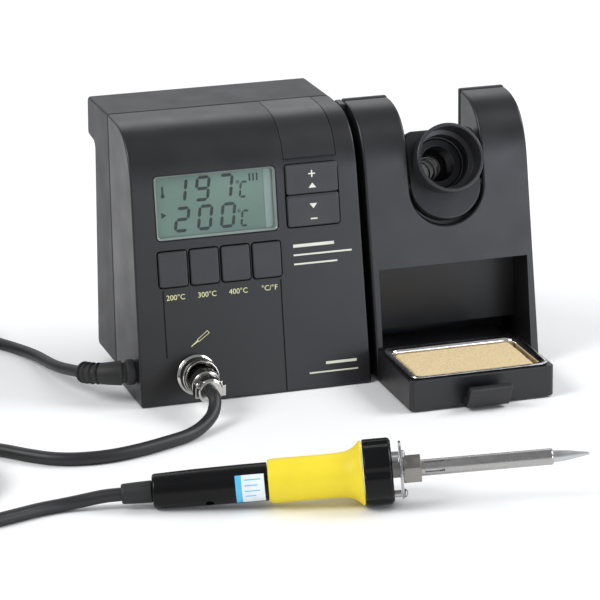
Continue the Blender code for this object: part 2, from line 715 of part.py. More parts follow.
def connector(panel):
    """Round metal connector of the iron. Its axis stands square to the front face."""
    turn = (math.pi / 2, 0, 0)
    place = socket_place()
    socket = [
        (0, 5.2 * MM),
        (7.4 * MM, 5.2 * MM),
        (7.4 * MM, 2.6 * MM),
        (9.9 * MM, 2.3 * MM),
        (9.9 * MM, GAP),
        (7.9 * MM, GAP),
        (7.9 * MM, -7 * MM),
        (0, -7 * MM),
    ]
    add_turned("panel_socket", socket, CHROME, panel, place, turn, 40)
    ring = ring_profile(9.1 * MM, 7.8 * MM, 3 * MM, 11.5 * MM)
    add_turned("coupling_ring", ring, CHROME, panel, place, turn, 40)
    outwards = (SOCKET[0], -DROOP_START, SOCKET[1])
    turn = (math.pi / 2 + DROOP, 0, 0)
    shell = [
        (0, 10.7 * MM),
        (6.9 * MM, 10.7 * MM),
        (7.2 * MM, 10.2 * MM),
        (7.2 * MM, 5.9 * MM),
        (6.6 * MM, 5.5 * MM),
        (6.6 * MM, -0.7 * MM),
        (0, -0.7 * MM),
    ]
    add_turned("plug_shell", shell, CHROME, panel, outwards, turn, 40)
    clamp = [
        (0, 18.2 * MM),
        (5.4 * MM, 18.2 * MM),
        (6.4 * MM, 17.2 * MM),
        (6.4 * MM, 11 * MM),
        (0, 11 * MM),
    ]
    add_turned("cord_clamp", clamp, CHROME, panel, outwards, turn, 32)


def strain_relief(layout):
    """Flexible sleeve on the mains cord: a collar through the wall, a boot, a neck and a ribbed taper."""
    boot_end, neck_end, cone_end = -4.7 * MM, -6.5 * MM, -15 * MM
    points = smooth_route(RELIEF_ROUTE, 0.9 * MM)
    radii = []
    for x, _, _ in points:
        if x > -GAP:
            radii.append(5.0)
        elif x > boot_end:
            radii.append(6.2)
        elif x > neck_end:
            radii.append(5.3)
        elif x > cone_end:
            radii.append(6.0 - 0.9 * (x - neck_end) / (cone_end - neck_end))
        else:
            radii.append(5.0)
    mesh = tube_mesh("mains_strain_relief", points, 2 * MM, 4, radii)
    add_piece("mains_strain_relief", mesh, FOOT_RUBBER, layout)


# ---------------------------------------------------------------- cords


def cords(layout):
    """The stretches that aren't coiled."""
    pieces = (
        ("mains_cord", MAINS_ROUTE, MAINS_DIAMETER),
        ("iron_cord_out", IRON_CORD_OUT_ROUTE, IRON_CORD_DIAMETER),
        ("iron_cord_in", IRON_CORD_IN_ROUTE, IRON_CORD_DIAMETER),
    )
    for name, route, diameter in pieces:
        mesh = tube_mesh(name, smooth_route(route, 2 * diameter), diameter, 3)
        add_piece(name, mesh, CORD_BLACK, layout)


def coil_ring(name, centre, turn_radius, wide, high, diameter, layout):
    """The outer shape of a round coil: a ring as wide and high as its turns."""
    half = wide * diameter / 2
    height = high * diameter
    edge = diameter / 3
    profile = [
        (turn_radius - half + edge, height),
        (turn_radius + half - edge, height),
        (turn_radius + half, height - edge),
        (turn_radius + half, edge),
        (turn_radius + half - edge, 0),
        (turn_radius - half + edge, 0),
        (turn_radius - half, edge),
        (turn_radius - half, height - edge),
    ]
    add_turned(name, profile, CORD_BLACK, layout, (*centre, 0), steps=40)


def mains_plug(layout):
    """Two-pin plug, lying where the cord leaves the mains coil. Its pins point away from the coil."""
    body_outline = [
        (-27 * MM, -3.8 * MM),
        (-8 * MM, -6.4 * MM),
        (0, -12 * MM),
        (9 * MM, -17 * MM),
        (12 * MM, -17 * MM),
        (12 * MM, 17 * MM),
        (9 * MM, 17 * MM),
        (0, 12 * MM),
        (-8 * MM, 6.4 * MM),
        (-27 * MM, 3.8 * MM),
    ]
    mesh = plate_mesh("mains_plug", body_outline, 13 * MM)
    plug = add_piece("mains_plug", mesh, CORD_BLACK, layout, PLUG, (0, 0, -math.pi / 2))
    bevel(plug, 1.5 * MM, 2)
    profile = [(0, 19 * MM), (1.2 * MM, 19 * MM), (2 * MM, 17.8 * MM), (2 * MM, 0), (0, 0)]
    for index, side in enumerate((-1, 1)):
        place = (PLUG[0] + side * 9.5 * MM, PLUG[1] - 12 * MM - GAP, PLUG[2])
        add_turned(f"plug_pin_{index + 1}", profile, STEEL, layout, place, (math.pi / 2, 0, 0), 20)


# ---------------------------------------------------------------- stand


def stand_outline(low, rear, inset=0.0):
    return front_profile(inset, low, rear) + [(rear, low)]


def u_outline(radius, centre, top, count=17):
    """A U: a half circle below, open sides up to the top."""
    return [(centre[0] + radius, top), (centre[0] - radius, top), *arc(centre, radius, 180, 360, count)]


def slot_mesh(radius, depth=(-20 * MM, 70 * MM)):
    centre = (SLOT_CENTRE, SLOT_FLOOR + SLOT_RADIUS)
    outline = u_outline(radius, centre, 150 * MM)
    middle = (depth[0] + depth[1]) / 2
    frame = Matrix.Translation((0, middle, 0)) @ FACE_FRAME
    return plate_mesh("slot", outline, depth[1] - depth[0], frame)


def stand_body(layout):
    """Shell with two arms, a U-shaped slot between them and a recess below for the tray."""
    x0, x1 = STAND_LEFT, STAND_LEFT + STAND_WIDTH
    mesh = side_solid("stand_body", stand_outline(1 * MM, STAND_DEPTH), x0, x1, -SIDE_DRAFT, -SIDE_DRAFT)
    body = add_piece("stand_body", mesh, CASE_BLACK, layout)
    bevel(body, 1.2 * MM, 2)
    inner = stand_outline(-5 * MM, 70 * MM, WALL)
    mesh = side_solid("hollow", inner, x0 + WALL, x1 - WALL, -SIDE_DRAFT, -SIDE_DRAFT)
    hollow = add_cutter("stand_hollow", mesh, layout)
    cut(hollow, add_cutter("slot_walls", slot_mesh(SLOT_RADIUS + WALL, (-30 * MM, 80 * MM)), layout))
    (cx0, cx1), (_, cy1), (_, cz1) = CAVITY
    walls = ((cx0 - 9 * MM, cx1 + 9 * MM), (-15 * MM, cy1 + WALL), (17 * MM, cz1 + WALL))
    cut(hollow, add_cutter("cavity_walls", block_mesh("cavity_walls", walls), layout))
    cut(body, hollow)
    cut(body, add_cutter("slot_cut", slot_mesh(SLOT_RADIUS), layout))
    cut(body, add_cutter("cavity_cut", block_mesh("cavity", CAVITY), layout), solver="MANIFOLD")
    tail = ((cx0, cx1), (-6 * MM, 33 * MM), (-6 * MM, 17.6 * MM))
    cut(body, add_cutter("tray_tunnel", block_mesh("tray_tunnel", tail), layout), solver="MANIFOLD")
    notch = add_cutter("bridge_notch", block_mesh("bridge_notch", BRIDGE_NOTCH), layout)
    cut(body, notch, solver="MANIFOLD")
    for side in (-1, 1):
        place = (SLOT_CENTRE + side * SLOT_RADIUS, *HOLDER_PIVOT)
        hole = cylinder_profile(2.3 * MM, -6 * MM, 6 * MM)
        pin_hole = turned_cutter(f"pin_hole_{side}", hole, layout, place, (0, math.pi / 2, 0), 20)
        cut(body, pin_hole, solver="MANIFOLD")


def stand_cover(layout):
    """Plate that closes the back of the stand, with the same slot."""
    x0, x1 = STAND_LEFT, STAND_LEFT + STAND_WIDTH
    y0, y1 = STAND_DEPTH + GAP, STAND_DEPTH + STAND_COVER
    spans = ((x0, x1), (y0, y1), (1 * MM, UNIT_HEIGHT))
    mesh = block_mesh("stand_cover", spans)
    lean_sides(mesh, (x0 + x1) / 2, -SIDE_DRAFT, -SIDE_DRAFT)
    cover = add_piece("stand_cover", mesh, COVER_BLACK, layout)
    bevel(cover, 1 * MM, 2)
    cut(cover, add_cutter("cover_slot", slot_mesh(SLOT_RADIUS), layout))


def joining_web(layout):
    """Wall that joins the control unit and the stand, set back from their fronts and level with their tops."""
    front, rear, foot = 41 * MM, 49.3 * MM, 7.5 * MM
    outline = [
        (front, foot),
        (rear, foot),
        (rear, UNIT_HEIGHT - 0.5 * MM),
        (BROW_END[0], BROW_END[1] - 0.1 * MM),
        (front, BROW_END[1] - 0.4 * MM),
    ]
    span = (UNIT_WIDTH + GAP, STAND_LEFT - GAP)
    mesh = side_solid("joining_web", outline, *span, -SIDE_DRAFT, -SIDE_DRAFT)
    web = add_piece("joining_web", mesh, CASE_BLACK, layout)
    bevel(web, 0.4 * MM, 2)


def holder_frame(layout):
    """Empty on the pins' axis. Its -Y points out of the holder's mouth and its Z along the plate."""
    return new_empty("holder_frame", (SLOT_CENTRE, *HOLDER_PIVOT), (-HOLDER_TILT, 0, 0), layout)


def iron_holder(holder):
    """Swivelling holder: a plate that fills the slot, with the cup in front and the barrel behind."""
    mesh = plate_mesh("iron_holder", rounded_u(17.9 * MM, 26 * MM), 9 * MM, FACE_FRAME)
    piece = add_piece("iron_holder", mesh, HOLDER_BLACK, holder)
    bevel(piece, 0.8 * MM, 2)
    turn = (math.pi / 2, 0, 0)
    place = (0, 0, BORE_ABOVE_PIVOT)
    cup = [
        (0, 16.5 * MM),
        (CUP_RADIUS - 0.6 * MM, 16.5 * MM),
        (CUP_RADIUS, 15.9 * MM),
        (CUP_RADIUS, 14 * MM),
        (CUP_RADIUS - 1 * MM, 13.6 * MM),
        (CUP_RADIUS - 1 * MM, 0),
        (14.2 * MM, 0),
        (14 * MM, -23.5 * MM),
        (0, -23.5 * MM),
    ]
    boolean(piece, turned_cutter("holder_tube", cup, holder, place, turn, 40), "UNION")
    bore = [
        (0, 20 * MM),
        (15.3 * MM, 20 * MM),
        (15.3 * MM, 4.5 * MM),
        (13 * MM, 4 * MM),
        (13 * MM, -3.5 * MM),
        (12.3 * MM, -3.8 * MM),
        (12.3 * MM, -21.5 * MM),
        (7.8 * MM, -21.5 * MM),
        (7.8 * MM, -30 * MM),
        (0, -30 * MM),
    ]
    cut(piece, turned_cutter("holder_bore", bore, holder, place, turn, 40))
    for side in (-1, 1):
        hole = cylinder_profile(2.15 * MM, -4.8 * MM, 4.8 * MM)
        hole_place = (side * 17.2 * MM, 0.02 * MM, 0)
        pin_hole = turned_cutter(f"holder_pin_hole_{side}", hole, holder, hole_place, (0, math.pi / 2, 0), 20)
        cut(piece, pin_hole, solver="MANIFOLD")


def rounded_u(radius, top):
    corner = 4 * MM
    right = arc((radius - corner, top - corner), corner, 0, 90, 4)
    left = arc((corner - radius, top - corner), corner, 90, 180, 4)
    return [*right, *left, *arc((0, 0), radius, 180, 360, 17)]


def holder_lining(holder):
    """Sleeve whose tail tube reaches behind the stand, with the wire spring that guards the hot tip."""
    turn = (math.pi / 2, 0, 0)
    place = (0, 0, BORE_ABOVE_PIVOT)
    sleeve = [
        (8.6 * MM, -4.2 * MM),
        (12 * MM, -4.2 * MM),
        (12 * MM, -21.2 * MM),
        (7.4 * MM, -21.2 * MM),
        (7.4 * MM, -50 * MM),
        (6.7 * MM, -50 * MM),
        (6.7 * MM, -20.4 * MM),
        (8.6 * MM, -19 * MM),
    ]
    add_turned("holder_sleeve", sleeve, HOLDER_BLACK, holder, place, turn, 36)
    points = []
    turns, per_turn = 4, 14
    for i in range(turns * per_turn + 1):
        angle = 2 * math.pi * i / per_turn
        depth = 20 * MM + 29 * MM * i / (turns * per_turn)
        points.append((5.7 * MM * math.cos(angle), depth, 5.7 * MM * math.sin(angle)))
    mesh = tube_mesh("holder_spring", points, 1.1 * MM, 2)
    add_piece("holder_spring", mesh, STEEL, holder, place)


def holder_pins(layout):
    """Headed pins pressed through the arms into the holder."""
    for name, side in (("holder_pin_left", -1), ("holder_pin_right", 1)):
        place = (SLOT_CENTRE + side * SLOT_RADIUS, *HOLDER_PIVOT)
        profile = [
            (0, 5.3 * MM),
            (2.4 * MM, 5.3 * MM),
            (2.4 * MM, 2.9 * MM),
            (2.0 * MM, 2.9 * MM),
            (2.0 * MM, -5.2 * MM),
            (0, -5.2 * MM),
        ]
        add_turned(name, profile, STEEL, layout, place, (0, side * math.pi / 2, 0), 20)


# ---------------------------------------------------------------- tray, dish and sponge


def tray(layout):
    """Pull-out tray: a tub with a rounded front, a finger tab and a tail that runs under the stand."""
    (x0, x1), (y0, y1), (z0, z1) = TRAY
    corner = 2.5 * MM
    outline = [
        *arc((x0 + corner, y0 + corner), corner, 180, 270, 5),
        *arc((x1 - corner, y0 + corner), corner, 270, 360, 5),
        (x1, y1),
        (x0, y1),
    ]
    middle = (z0 + z1) / 2
    mesh = plate_mesh("tray", outline, z1 - z0, Matrix.Translation((0, 0, middle)))
    piece = add_piece("tray", mesh, CASE_BLACK, layout)
    bevel(piece, 0.6 * MM, 2)
    inner = rounded_rectangle(x0 + TRAY_WALL, x1 - TRAY_WALL, y0 + TRAY_WALL, y1 - TRAY_WALL, 1.8 * MM, 4)
    well = plate_mesh("tray_well", inner, 20 * MM, Matrix.Translation((0, 0, z0 + 2 * MM + 10 * MM)))
    cut(piece, add_cutter("tray_well", well, layout))
    tab = [
        (y0 + 1 * MM, z0 + 1.5 * MM),
        (y0 - 6.5 * MM, z0 + 0.6 * MM),
        (y0 - 11.2 * MM, 11 * MM),
        (y0 - 10.6 * MM, 12.6 * MM),
        (y0 - 9.2 * MM, 13.2 * MM),
        (y0 - 7.6 * MM, 12.8 * MM),
        (y0 - 5 * MM, 6 * MM),
        (y0 + 1 * MM, 5.4 * MM),
    ]
    tab_x = (143.8 * MM, 165 * MM)
    frame = Matrix.Translation((sum(tab_x) / 2, 0, 0)) @ SIDE_FRAME
    mesh = plate_mesh("tab", tab, tab_x[1] - tab_x[0], frame)
    boolean(piece, add_cutter("tray_tab", mesh, layout), "UNION")
    tail = ((x0 + 5 * MM, x1 - 2 * MM), (y1 - 1.5 * MM, 30 * MM), (9 * MM, 12.4 * MM))
    boolean(piece, add_cutter("tray_tail", block_mesh("tail", tail), layout), "UNION")


def dish(layout):
    """Pressed metal dish that drops into the tray and hangs on its rim."""
    rim = rounded_rectangle(*DISH_RIM, 5 * MM, 5)
    middle = DISH_TOP - 0.4 * MM
    mesh = plate_mesh("sponge_dish", rim, 0.8 * MM, Matrix.Translation((0, 0, middle)))
    piece = add_piece("sponge_dish", mesh, STEEL, layout)
    x0, x1, y0, y1 = DISH_RIM
    tub = rounded_rectangle(x0 + 3.2 * MM, x1 - 3.2 * MM, y0 + 3.2 * MM, y1 - 3.2 * MM, 4 * MM, 5)
    mesh = plate_mesh("tub", tub, 11 * MM, Matrix.Translation((0, 0, DISH_TOP - 5.9 * MM)))
    boolean(piece, add_cutter("dish_tub", mesh, layout), "UNION")
    inner = rounded_rectangle(x0 + 3.9 * MM, x1 - 3.9 * MM, y0 + 3.9 * MM, y1 - 3.9 * MM, 3.4 * MM, 5)
    mesh = plate_mesh("dish_well", inner, 20 * MM, Matrix.Translation((0, 0, DISH_TOP - 10.6 * MM + 10 * MM)))
    cut(piece, add_cutter("dish_well", mesh, layout))


def sponge(layout):
    mesh = block_mesh("sponge", SPONGE)
    bevel(add_piece("sponge", mesh, SPONGE_TAN, layout), 1.2 * MM, 2)


# ---------------------------------------------------------------- hand iron


def iron_frame(layout):
    """Empty at the middle of the iron's flange. Its Z runs along the iron, towards the tip."""
    height = FLANGE_RADIUS * math.cos(IRON_PITCH) + FLANGE_HALF * math.sin(IRON_PITCH) + 0.02 * MM
    empty = new_empty("iron_frame", (*IRON_FLANGE, height), parent=layout)
    lie = Matrix.Rotation(IRON_YAW, 4, "Z") @ Matrix.Rotation(math.pi / 2 - IRON_PITCH, 4, "Y")
    empty.rotation_euler = lie.to_euler()
    return empty


def iron_handle(iron):
    """Rear handle, grip, flange and the sleeve on the cord."""
    rear, front = HANDLE_REAR, -48.1 * MM
    handle = [
        (0, front),
        (8.4 * MM, front),
        (8.4 * MM, -60 * MM),
        (8.2 * MM, -80 * MM),
        (7.6 * MM, rear + 1 * MM),
        (6.8 * MM, rear),
        (0, rear),
    ]
    add_turned("handle_rear", handle, CASE_BLACK, iron, steps=36)
    grip = [
        (0, -6.5 * MM),
        (14 * MM, -6.5 * MM),
        (14.2 * MM, -7.2 * MM),
        (13 * MM, -8.2 * MM),
        (11 * MM, -10.4 * MM),
        (9.9 * MM, -13.5 * MM),
        (9.6 * MM, -20 * MM),
        (9.7 * MM, -44 * MM),
        (9.3 * MM, front + GAP),
        (0, front + GAP),
    ]
    add_turned("grip", grip, GRIP_YELLOW, iron, steps=36)
    flange = [
        (0, FLANGE_HALF),
        (FLANGE_RADIUS - 0.8 * MM, FLANGE_HALF),
        (FLANGE_RADIUS, FLANGE_HALF - 0.8 * MM),
        (FLANGE_RADIUS, -FLANGE_HALF),
        (0, -FLANGE_HALF),
    ]
    add_turned("flange", flange, CASE_BLACK, iron, steps=40)
    sleeve = [
        (0, rear - GAP),
        (4.9 * MM, rear - GAP),
        (4.5 * MM, SLEEVE_END + 1 * MM),
        (4.2 * MM, SLEEVE_END),
        (0, SLEEVE_END),
    ]
    add_turned("cord_sleeve", sleeve, FOOT_RUBBER, iron, steps=24)


def iron_front(iron):
    """Heater mount: plate on three screws, with the barrel held by its nut, and the tip."""
    plate_low, plate_high = 9.6 * MM, 10.6 * MM
    plate = ring_profile(12.6 * MM, 4.6 * MM, plate_low, plate_high)
    add_turned("heater_plate", plate, STEEL, iron, steps=36)
    for index in range(3):
        angle = math.radians(90 + 120 * index)
        place = (10.4 * MM * math.cos(angle), 10.4 * MM * math.sin(angle), 0)
        post = cylinder_profile(1.5 * MM, FLANGE_HALF + GAP, plate_low - GAP)
        add_turned(f"standoff_{index + 1}", post, STEEL, iron, place, steps=16)
    heater = cylinder_profile(2.4 * MM, FLANGE_HALF + GAP, 72 * MM)
    add_turned("heater", heater, CERAMIC, iron, steps=20)
    nut_low, nut_high = plate_high + GAP, 18.7 * MM
    hexagon = arc((0, 0), 6.9 * MM, 0, 300, 6)
    bore = arc((0, 0), 3.9 * MM, 0, 345, 24)
    mesh = plate_mesh("barrel_nut", hexagon, nut_high - nut_low, holes=[bore])
    nut = add_piece("barrel_nut", mesh, STEEL, iron, (0, 0, (nut_low + nut_high) / 2))
    bevel(nut, 0.35 * MM, 1)
    barrel = [
        (2.95 * MM, 76.2 * MM),
        (3.3 * MM, 76.2 * MM),
        (3.6 * MM, 75.6 * MM),
        (3.6 * MM, plate_high + 2 * GAP),
        (3.1 * MM, plate_high + 2 * GAP),
        (3.1 * MM, 75.6 * MM),
    ]
    add_turned("barrel", barrel, STEEL, iron, steps=28)
    tip = [
        (0, TIP_END),
        (0.4 * MM, TIP_END),
        (0.6 * MM, TIP_END - 0.6 * MM),
        (2.2 * MM, TIP_END - 10 * MM),
        (2.6 * MM, TIP_END - 14 * MM),
        (2.6 * MM, 72.4 * MM),
        (0, 72.4 * MM),
    ]
    add_turned("tip", tip, TIP_PLATED, iron, steps=24)


# ---------------------------------------------------------------- assembly


def build():
    layout = new_empty("layout", (-ORIGIN[0], -ORIGIN[1], 0))
    panel = new_empty("panel_frame", (0, 0, 0), (-FACE_ANGLE, 0, 0), layout)
    front_shell(layout, panel)
    trim_strip(layout)
    rear_housing(layout)
    power_switch(layout)
    display(panel)
    preset_keys(panel)
    step_keys(panel)
    control_board(panel)
    transformer(layout)
    base_plate(layout)
    feet(layout)
    connector(panel)
    strain_relief(layout)
    cords(layout)
    coil_ring("iron_cord_coil", IRON_COIL, IRON_COIL_RADIUS, 2, 2, IRON_CORD_DIAMETER, layout)
    coil_ring("mains_coil", MAINS_COIL, MAINS_COIL_RADIUS, 3, 3, MAINS_DIAMETER, layout)
    mains_plug(layout)
    stand_body(layout)
    stand_cover(layout)
    joining_web(layout)
    holder = holder_frame(layout)
    iron_holder(holder)
    holder_lining(holder)
    holder_pins(layout)
    tray(layout)
    dish(layout)
    sponge(layout)
    iron = iron_frame(layout)
    iron_handle(iron)
    iron_front(iron)


build()
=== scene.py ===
"""Looks of the soldering iron station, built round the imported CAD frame.

Lengths in this script are in millimetres until a mesh is placed, and angles are in degrees. Pieces are laid
out in the control unit's own coordinates, x to the right, y to the rear and z up from its lower left front
corner, and the frame says where that corner is.
"""

import math

import bmesh
import bpy
from mathutils import Matrix, Vector, noise

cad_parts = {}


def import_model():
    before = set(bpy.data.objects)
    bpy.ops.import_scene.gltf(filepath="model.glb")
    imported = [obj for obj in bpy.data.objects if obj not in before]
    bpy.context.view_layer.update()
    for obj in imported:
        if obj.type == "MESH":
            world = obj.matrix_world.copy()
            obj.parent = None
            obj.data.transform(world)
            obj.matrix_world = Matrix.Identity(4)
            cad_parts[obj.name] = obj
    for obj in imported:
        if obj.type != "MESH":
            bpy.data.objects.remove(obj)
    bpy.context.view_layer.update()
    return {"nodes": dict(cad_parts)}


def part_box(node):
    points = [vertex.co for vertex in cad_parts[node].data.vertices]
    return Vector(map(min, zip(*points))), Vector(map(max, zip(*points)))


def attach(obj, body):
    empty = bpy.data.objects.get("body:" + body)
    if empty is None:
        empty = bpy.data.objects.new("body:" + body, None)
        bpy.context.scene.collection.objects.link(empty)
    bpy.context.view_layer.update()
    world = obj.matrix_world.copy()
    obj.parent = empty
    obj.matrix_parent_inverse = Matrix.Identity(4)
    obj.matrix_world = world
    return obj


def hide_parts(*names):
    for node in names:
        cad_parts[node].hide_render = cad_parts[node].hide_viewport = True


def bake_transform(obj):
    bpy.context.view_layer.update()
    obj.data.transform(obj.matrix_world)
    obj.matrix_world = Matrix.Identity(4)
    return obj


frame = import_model()

MM = 0.001

# ---------------------------------------------------------------- the CAD's driving dimensions

FACE_LEAN = 0.147
FACE_ANGLE = math.atan(FACE_LEAN)
FACE_STRAIGHT = 100
BROW_END = (44, 129.5)
TOP_SLOPE = 0.037
SIDE_DRAFT = 0.015
WALL = 2.5
UNIT_WIDTH, UNIT_HEIGHT = 115, 130
SEAM_FOOT, SEAM_TOP = 46.5, 57.5
HOUSING_DEPTH, HOUSING_TOP_DEPTH, HOUSING_STEP, HOUSING_FOOT = 84, 98, 110, 7
STAND_LEFT, STAND_WIDTH, STAND_DEPTH, STAND_COVER = 118.6, 83.5, 46, 3.6
SLOT_CENTRE, SLOT_RADIUS, SLOT_FLOOR = 158.2, 18.75, 72.5
CAVITY = ((121.6, 198), (-5, 27), (-5, 54))
BRIDGE = ((UNIT_WIDTH - 5, STAND_LEFT + 5), (30.7, 45.3), (-5, 7))
WINDOW = (12.9, 72.3, 79.2, 109.6)
STEP_KEYS = (77.3, 103.2, 79.6, 109.6)
STEP_SPLIT = 95
PRESET_FIRST, PRESET_PITCH, PRESET_SIZE, PRESET_MIDDLE = 19.5, 15.45, (13.9, 16.9), 65.3
KEY_PROUD = 1.0
TRIM_START = 111
SOCKET = (27.7, 13.9)
OUTLET = (11, 15.3)
DROOP_START, DROOP = 8, 13.4
HOLDER_PIVOT = (18.6, 91.25)
HOLDER_TILT = 23
BORE_ABOVE_PIVOT = 10.2
CUP_RADIUS = 16.9
TRAY = ((117.8, 190.4), (-48.5, -0.4), (0.8, 16))
DISH_RIM = (119.4, 188.6, -47.6, -1.2)
DISH_TOP = 17.2
SPONGE = ((124.6, 183.4), (-42.6, -5.4), (7.0, 15.4))
SWITCH_X, SWITCH_Z = (21, 34), (24, 43.2)
IRON_FLANGE = (65.7, -154.6)
IRON_YAW, IRON_PITCH = -16.6, 4.3
FLANGE_RADIUS, FLANGE_HALF = 14.55, 6.2
HANDLE_REAR, HANDLE_FRONT, TIP_END, SLEEVE_END = -98.3, -48.1, 92.5, -112
MAINS_DIAMETER, IRON_CORD_DIAMETER = 5.6, 6.0

# ---------------------------------------------------------------- frames


def corner_of_unit():
    """The control unit's lower left front corner, from the front shell's box."""
    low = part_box("front_shell")[0]
    return Vector((low.x - SIDE_DRAFT * low.z, low.y - FACE_LEAN * low.z, 0))


def turn(axis, degrees):
    return Matrix.Rotation(math.radians(degrees), 4, axis)


def shift(x, y, z):
    return Matrix.Translation((x * MM, y * MM, z * MM))


UPRIGHT = Matrix(((1, 0, 0), (0, 0, -1), (0, 1, 0))).to_4x4()  # outline x, y and height to x, z and -y
SIDEWAYS = Matrix(((0, 0, 1), (1, 0, 0), (0, 1, 0))).to_4x4()  # outline x, y and height to y, z and x
STATION = Matrix.Translation(corner_of_unit())
SIDE = STATION @ SIDEWAYS
PANEL = STATION @ Matrix.Rotation(-FACE_ANGLE, 4, "X") @ UPRIGHT
CONNECTOR = PANEL @ shift(*SOCKET, 0)
PLUG_TAIL = CONNECTOR @ shift(0, 0, DROOP_START) @ turn("X", DROOP)
HOLDER = STATION @ shift(SLOT_CENTRE, *HOLDER_PIVOT) @ turn("X", -HOLDER_TILT)
HOLDER_BORE = HOLDER @ shift(0, 0, BORE_ABOVE_PIVOT) @ turn("X", 90)
IRON_SLOPE = math.radians(IRON_PITCH)
BENCH_GAP = 0.02  # the flange's lowest point lies this far off the bench
FLANGE_HEIGHT = FLANGE_RADIUS * math.cos(IRON_SLOPE) + FLANGE_HALF * math.sin(IRON_SLOPE) + BENCH_GAP
IRON = STATION @ shift(*IRON_FLANGE, FLANGE_HEIGHT) @ turn("Z", IRON_YAW) @ turn("Y", 90 - IRON_PITCH)

# ---------------------------------------------------------------- camera, stage and light

CAMERA_PLACE = (-359.2, -1410.2, 511.2)
CAMERA_AZIMUTH, CAMERA_ELEVATION, CAMERA_ROLL = 17.27, 17.49, -0.74
CAMERA_LENS = 195.1
PAPER_WHITE = (0.95, 0.95, 0.95)


def set_camera():
    data = bpy.data.cameras.new("camera")
    data.lens = CAMERA_LENS
    data.sensor_width = 36
    data.clip_end = 20
    camera = bpy.data.objects.new("camera", data)
    bpy.context.scene.collection.objects.link(camera)
    level = turn("Z", -CAMERA_AZIMUTH) @ turn("X", 90 - CAMERA_ELEVATION) @ turn("Z", CAMERA_ROLL)
    camera.matrix_world = STATION @ shift(*CAMERA_PLACE) @ level
    bpy.context.scene.camera = camera


def set_floor():
    bm = bmesh.new()
    bmesh.ops.create_grid(bm, x_segments=1, y_segments=1, size=6000)
    floor = place(bm, "floor", shift(0, 0, -0.02))
    material, shader = new_material("floor_paper", PAPER_WHITE, 0.7)
    floor.data.materials.append(material)
    grain(material, shader, 0.004, 0.00002, PAPER_WHITE, 0.01)


def area_light(name, position, target, size, power, colour=(1, 1, 1)):
    data = bpy.data.lights.new(name, "AREA")
    data.shape = "RECTANGLE"
    data.size, data.size_y = size
    data.energy = power
    data.color = colour
    light = bpy.data.objects.new(name, data)
    bpy.context.scene.collection.objects.link(light)
    light.location = position
    light.rotation_euler = (Vector(target) - Vector(position)).to_track_quat("-Z", "Y").to_euler()


def set_light():
    world = bpy.data.worlds.new("studio")
    world.use_nodes = True
    background = world.node_tree.nodes["Background"]
    background.inputs["Color"].default_value = (0.94, 0.96, 1.0, 1)
    background.inputs["Strength"].default_value = 0.40
    bpy.context.scene.world = world
    bpy.context.scene.view_settings.view_transform = "Standard"
    area_light("softbox_back", (0.1, 1.5, 1.05), (0, 0, 0.05), (1.9, 0.8), 7)
    area_light("softbox_east", (1.5, -0.3, 1.25), (0, 0, 0.05), (1.0, 1.0), 24)
    area_light("softbox_west", (-1.5, -0.3, 1.35), (0, 0, 0.05), (1.0, 1.0), 24)
    area_light("softbox_right", (1.1, -1.5, 0.25), (0.05, 0, 0.09), (1.0, 0.45), 11, (0.84, 0.89, 1.0))


# ---------------------------------------------------------------- mesh tools


def place(bm, name, where):
    """The mesh, drawn in millimetres, as an object at the given place."""
    bmesh.ops.recalc_face_normals(bm, faces=bm.faces)
    bmesh.ops.scale(bm, vec=(MM, MM, MM), verts=bm.verts)
    mesh = bpy.data.meshes.new(name)
    bm.to_mesh(mesh)
    bm.free()
    obj = bpy.data.objects.new(name, mesh)
    bpy.context.scene.collection.objects.link(obj)
    obj.matrix_world = where
    return obj


def apply_modifiers(obj):
    bpy.context.view_layer.update()
    evaluated = obj.evaluated_get(bpy.context.evaluated_depsgraph_get())
    mesh = bpy.data.meshes.new_from_object(evaluated)
    obj.modifiers.clear()
    obj.data = mesh


def bevel(obj, width, segments=3, angle=40):
    modifier = obj.modifiers.new("bevel", "BEVEL")
    modifier.width = width * MM
    modifier.segments = segments
    modifier.limit_method = "ANGLE"
    modifier.angle_limit = math.radians(angle)
    apply_modifiers(obj)
    return obj


def combine(obj, tools, operation, solver="MANIFOLD"):
    for tool in tools:
        modifier = obj.modifiers.new(operation.lower(), "BOOLEAN")
        modifier.operation = operation
        modifier.solver = solver
        modifier.object = tool
    apply_modifiers(obj)
    for tool in tools:
        bpy.data.objects.remove(tool)
    return obj


def carve(obj, *tools):
    return combine(obj, tools, "DIFFERENCE")


def fuse(obj, *tools):
    return combine(obj, tools, "UNION")


def dress(obj, material, body, replaces=(), angle=35):
    """Gives the piece its finish, and lets it move with its CAD body."""
    obj.data.materials.clear()
    obj.data.materials.append(material)
    obj.data.shade_smooth()
    obj.data.set_sharp_from_angle(angle=math.radians(angle))
    modifier = obj.modifiers.new("normals", "WEIGHTED_NORMAL")
    modifier.keep_sharp = True
    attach(obj, body)
    if replaces:
        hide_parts(*replaces)
    return obj


def loft(rings, caps=True):
    """Faces between rings of as many points each, closed at both ends."""
    bm = bmesh.new()
    loops = [[bm.verts.new(point) for point in ring] for ring in rings]
    for low, high in zip(loops, loops[1:]):
        for i in range(len(low)):
            j = (i + 1) % len(low)
            bm.faces.new((low[i], low[j], high[j], high[i]))
    if caps:
        bm.faces.new(loops[0])
        bm.faces.new(loops[-1])
    return bm


def level_ring(outline, height):
    return [(x, y, height) for x, y in outline]


def prism(outline, low, high):
    return loft([level_ring(outline, low), level_ring(outline, high)])


def block(x, y, z):
    return prism([(x[0], y[0]), (x[1], y[0]), (x[1], y[1]), (x[0], y[1])], *z)


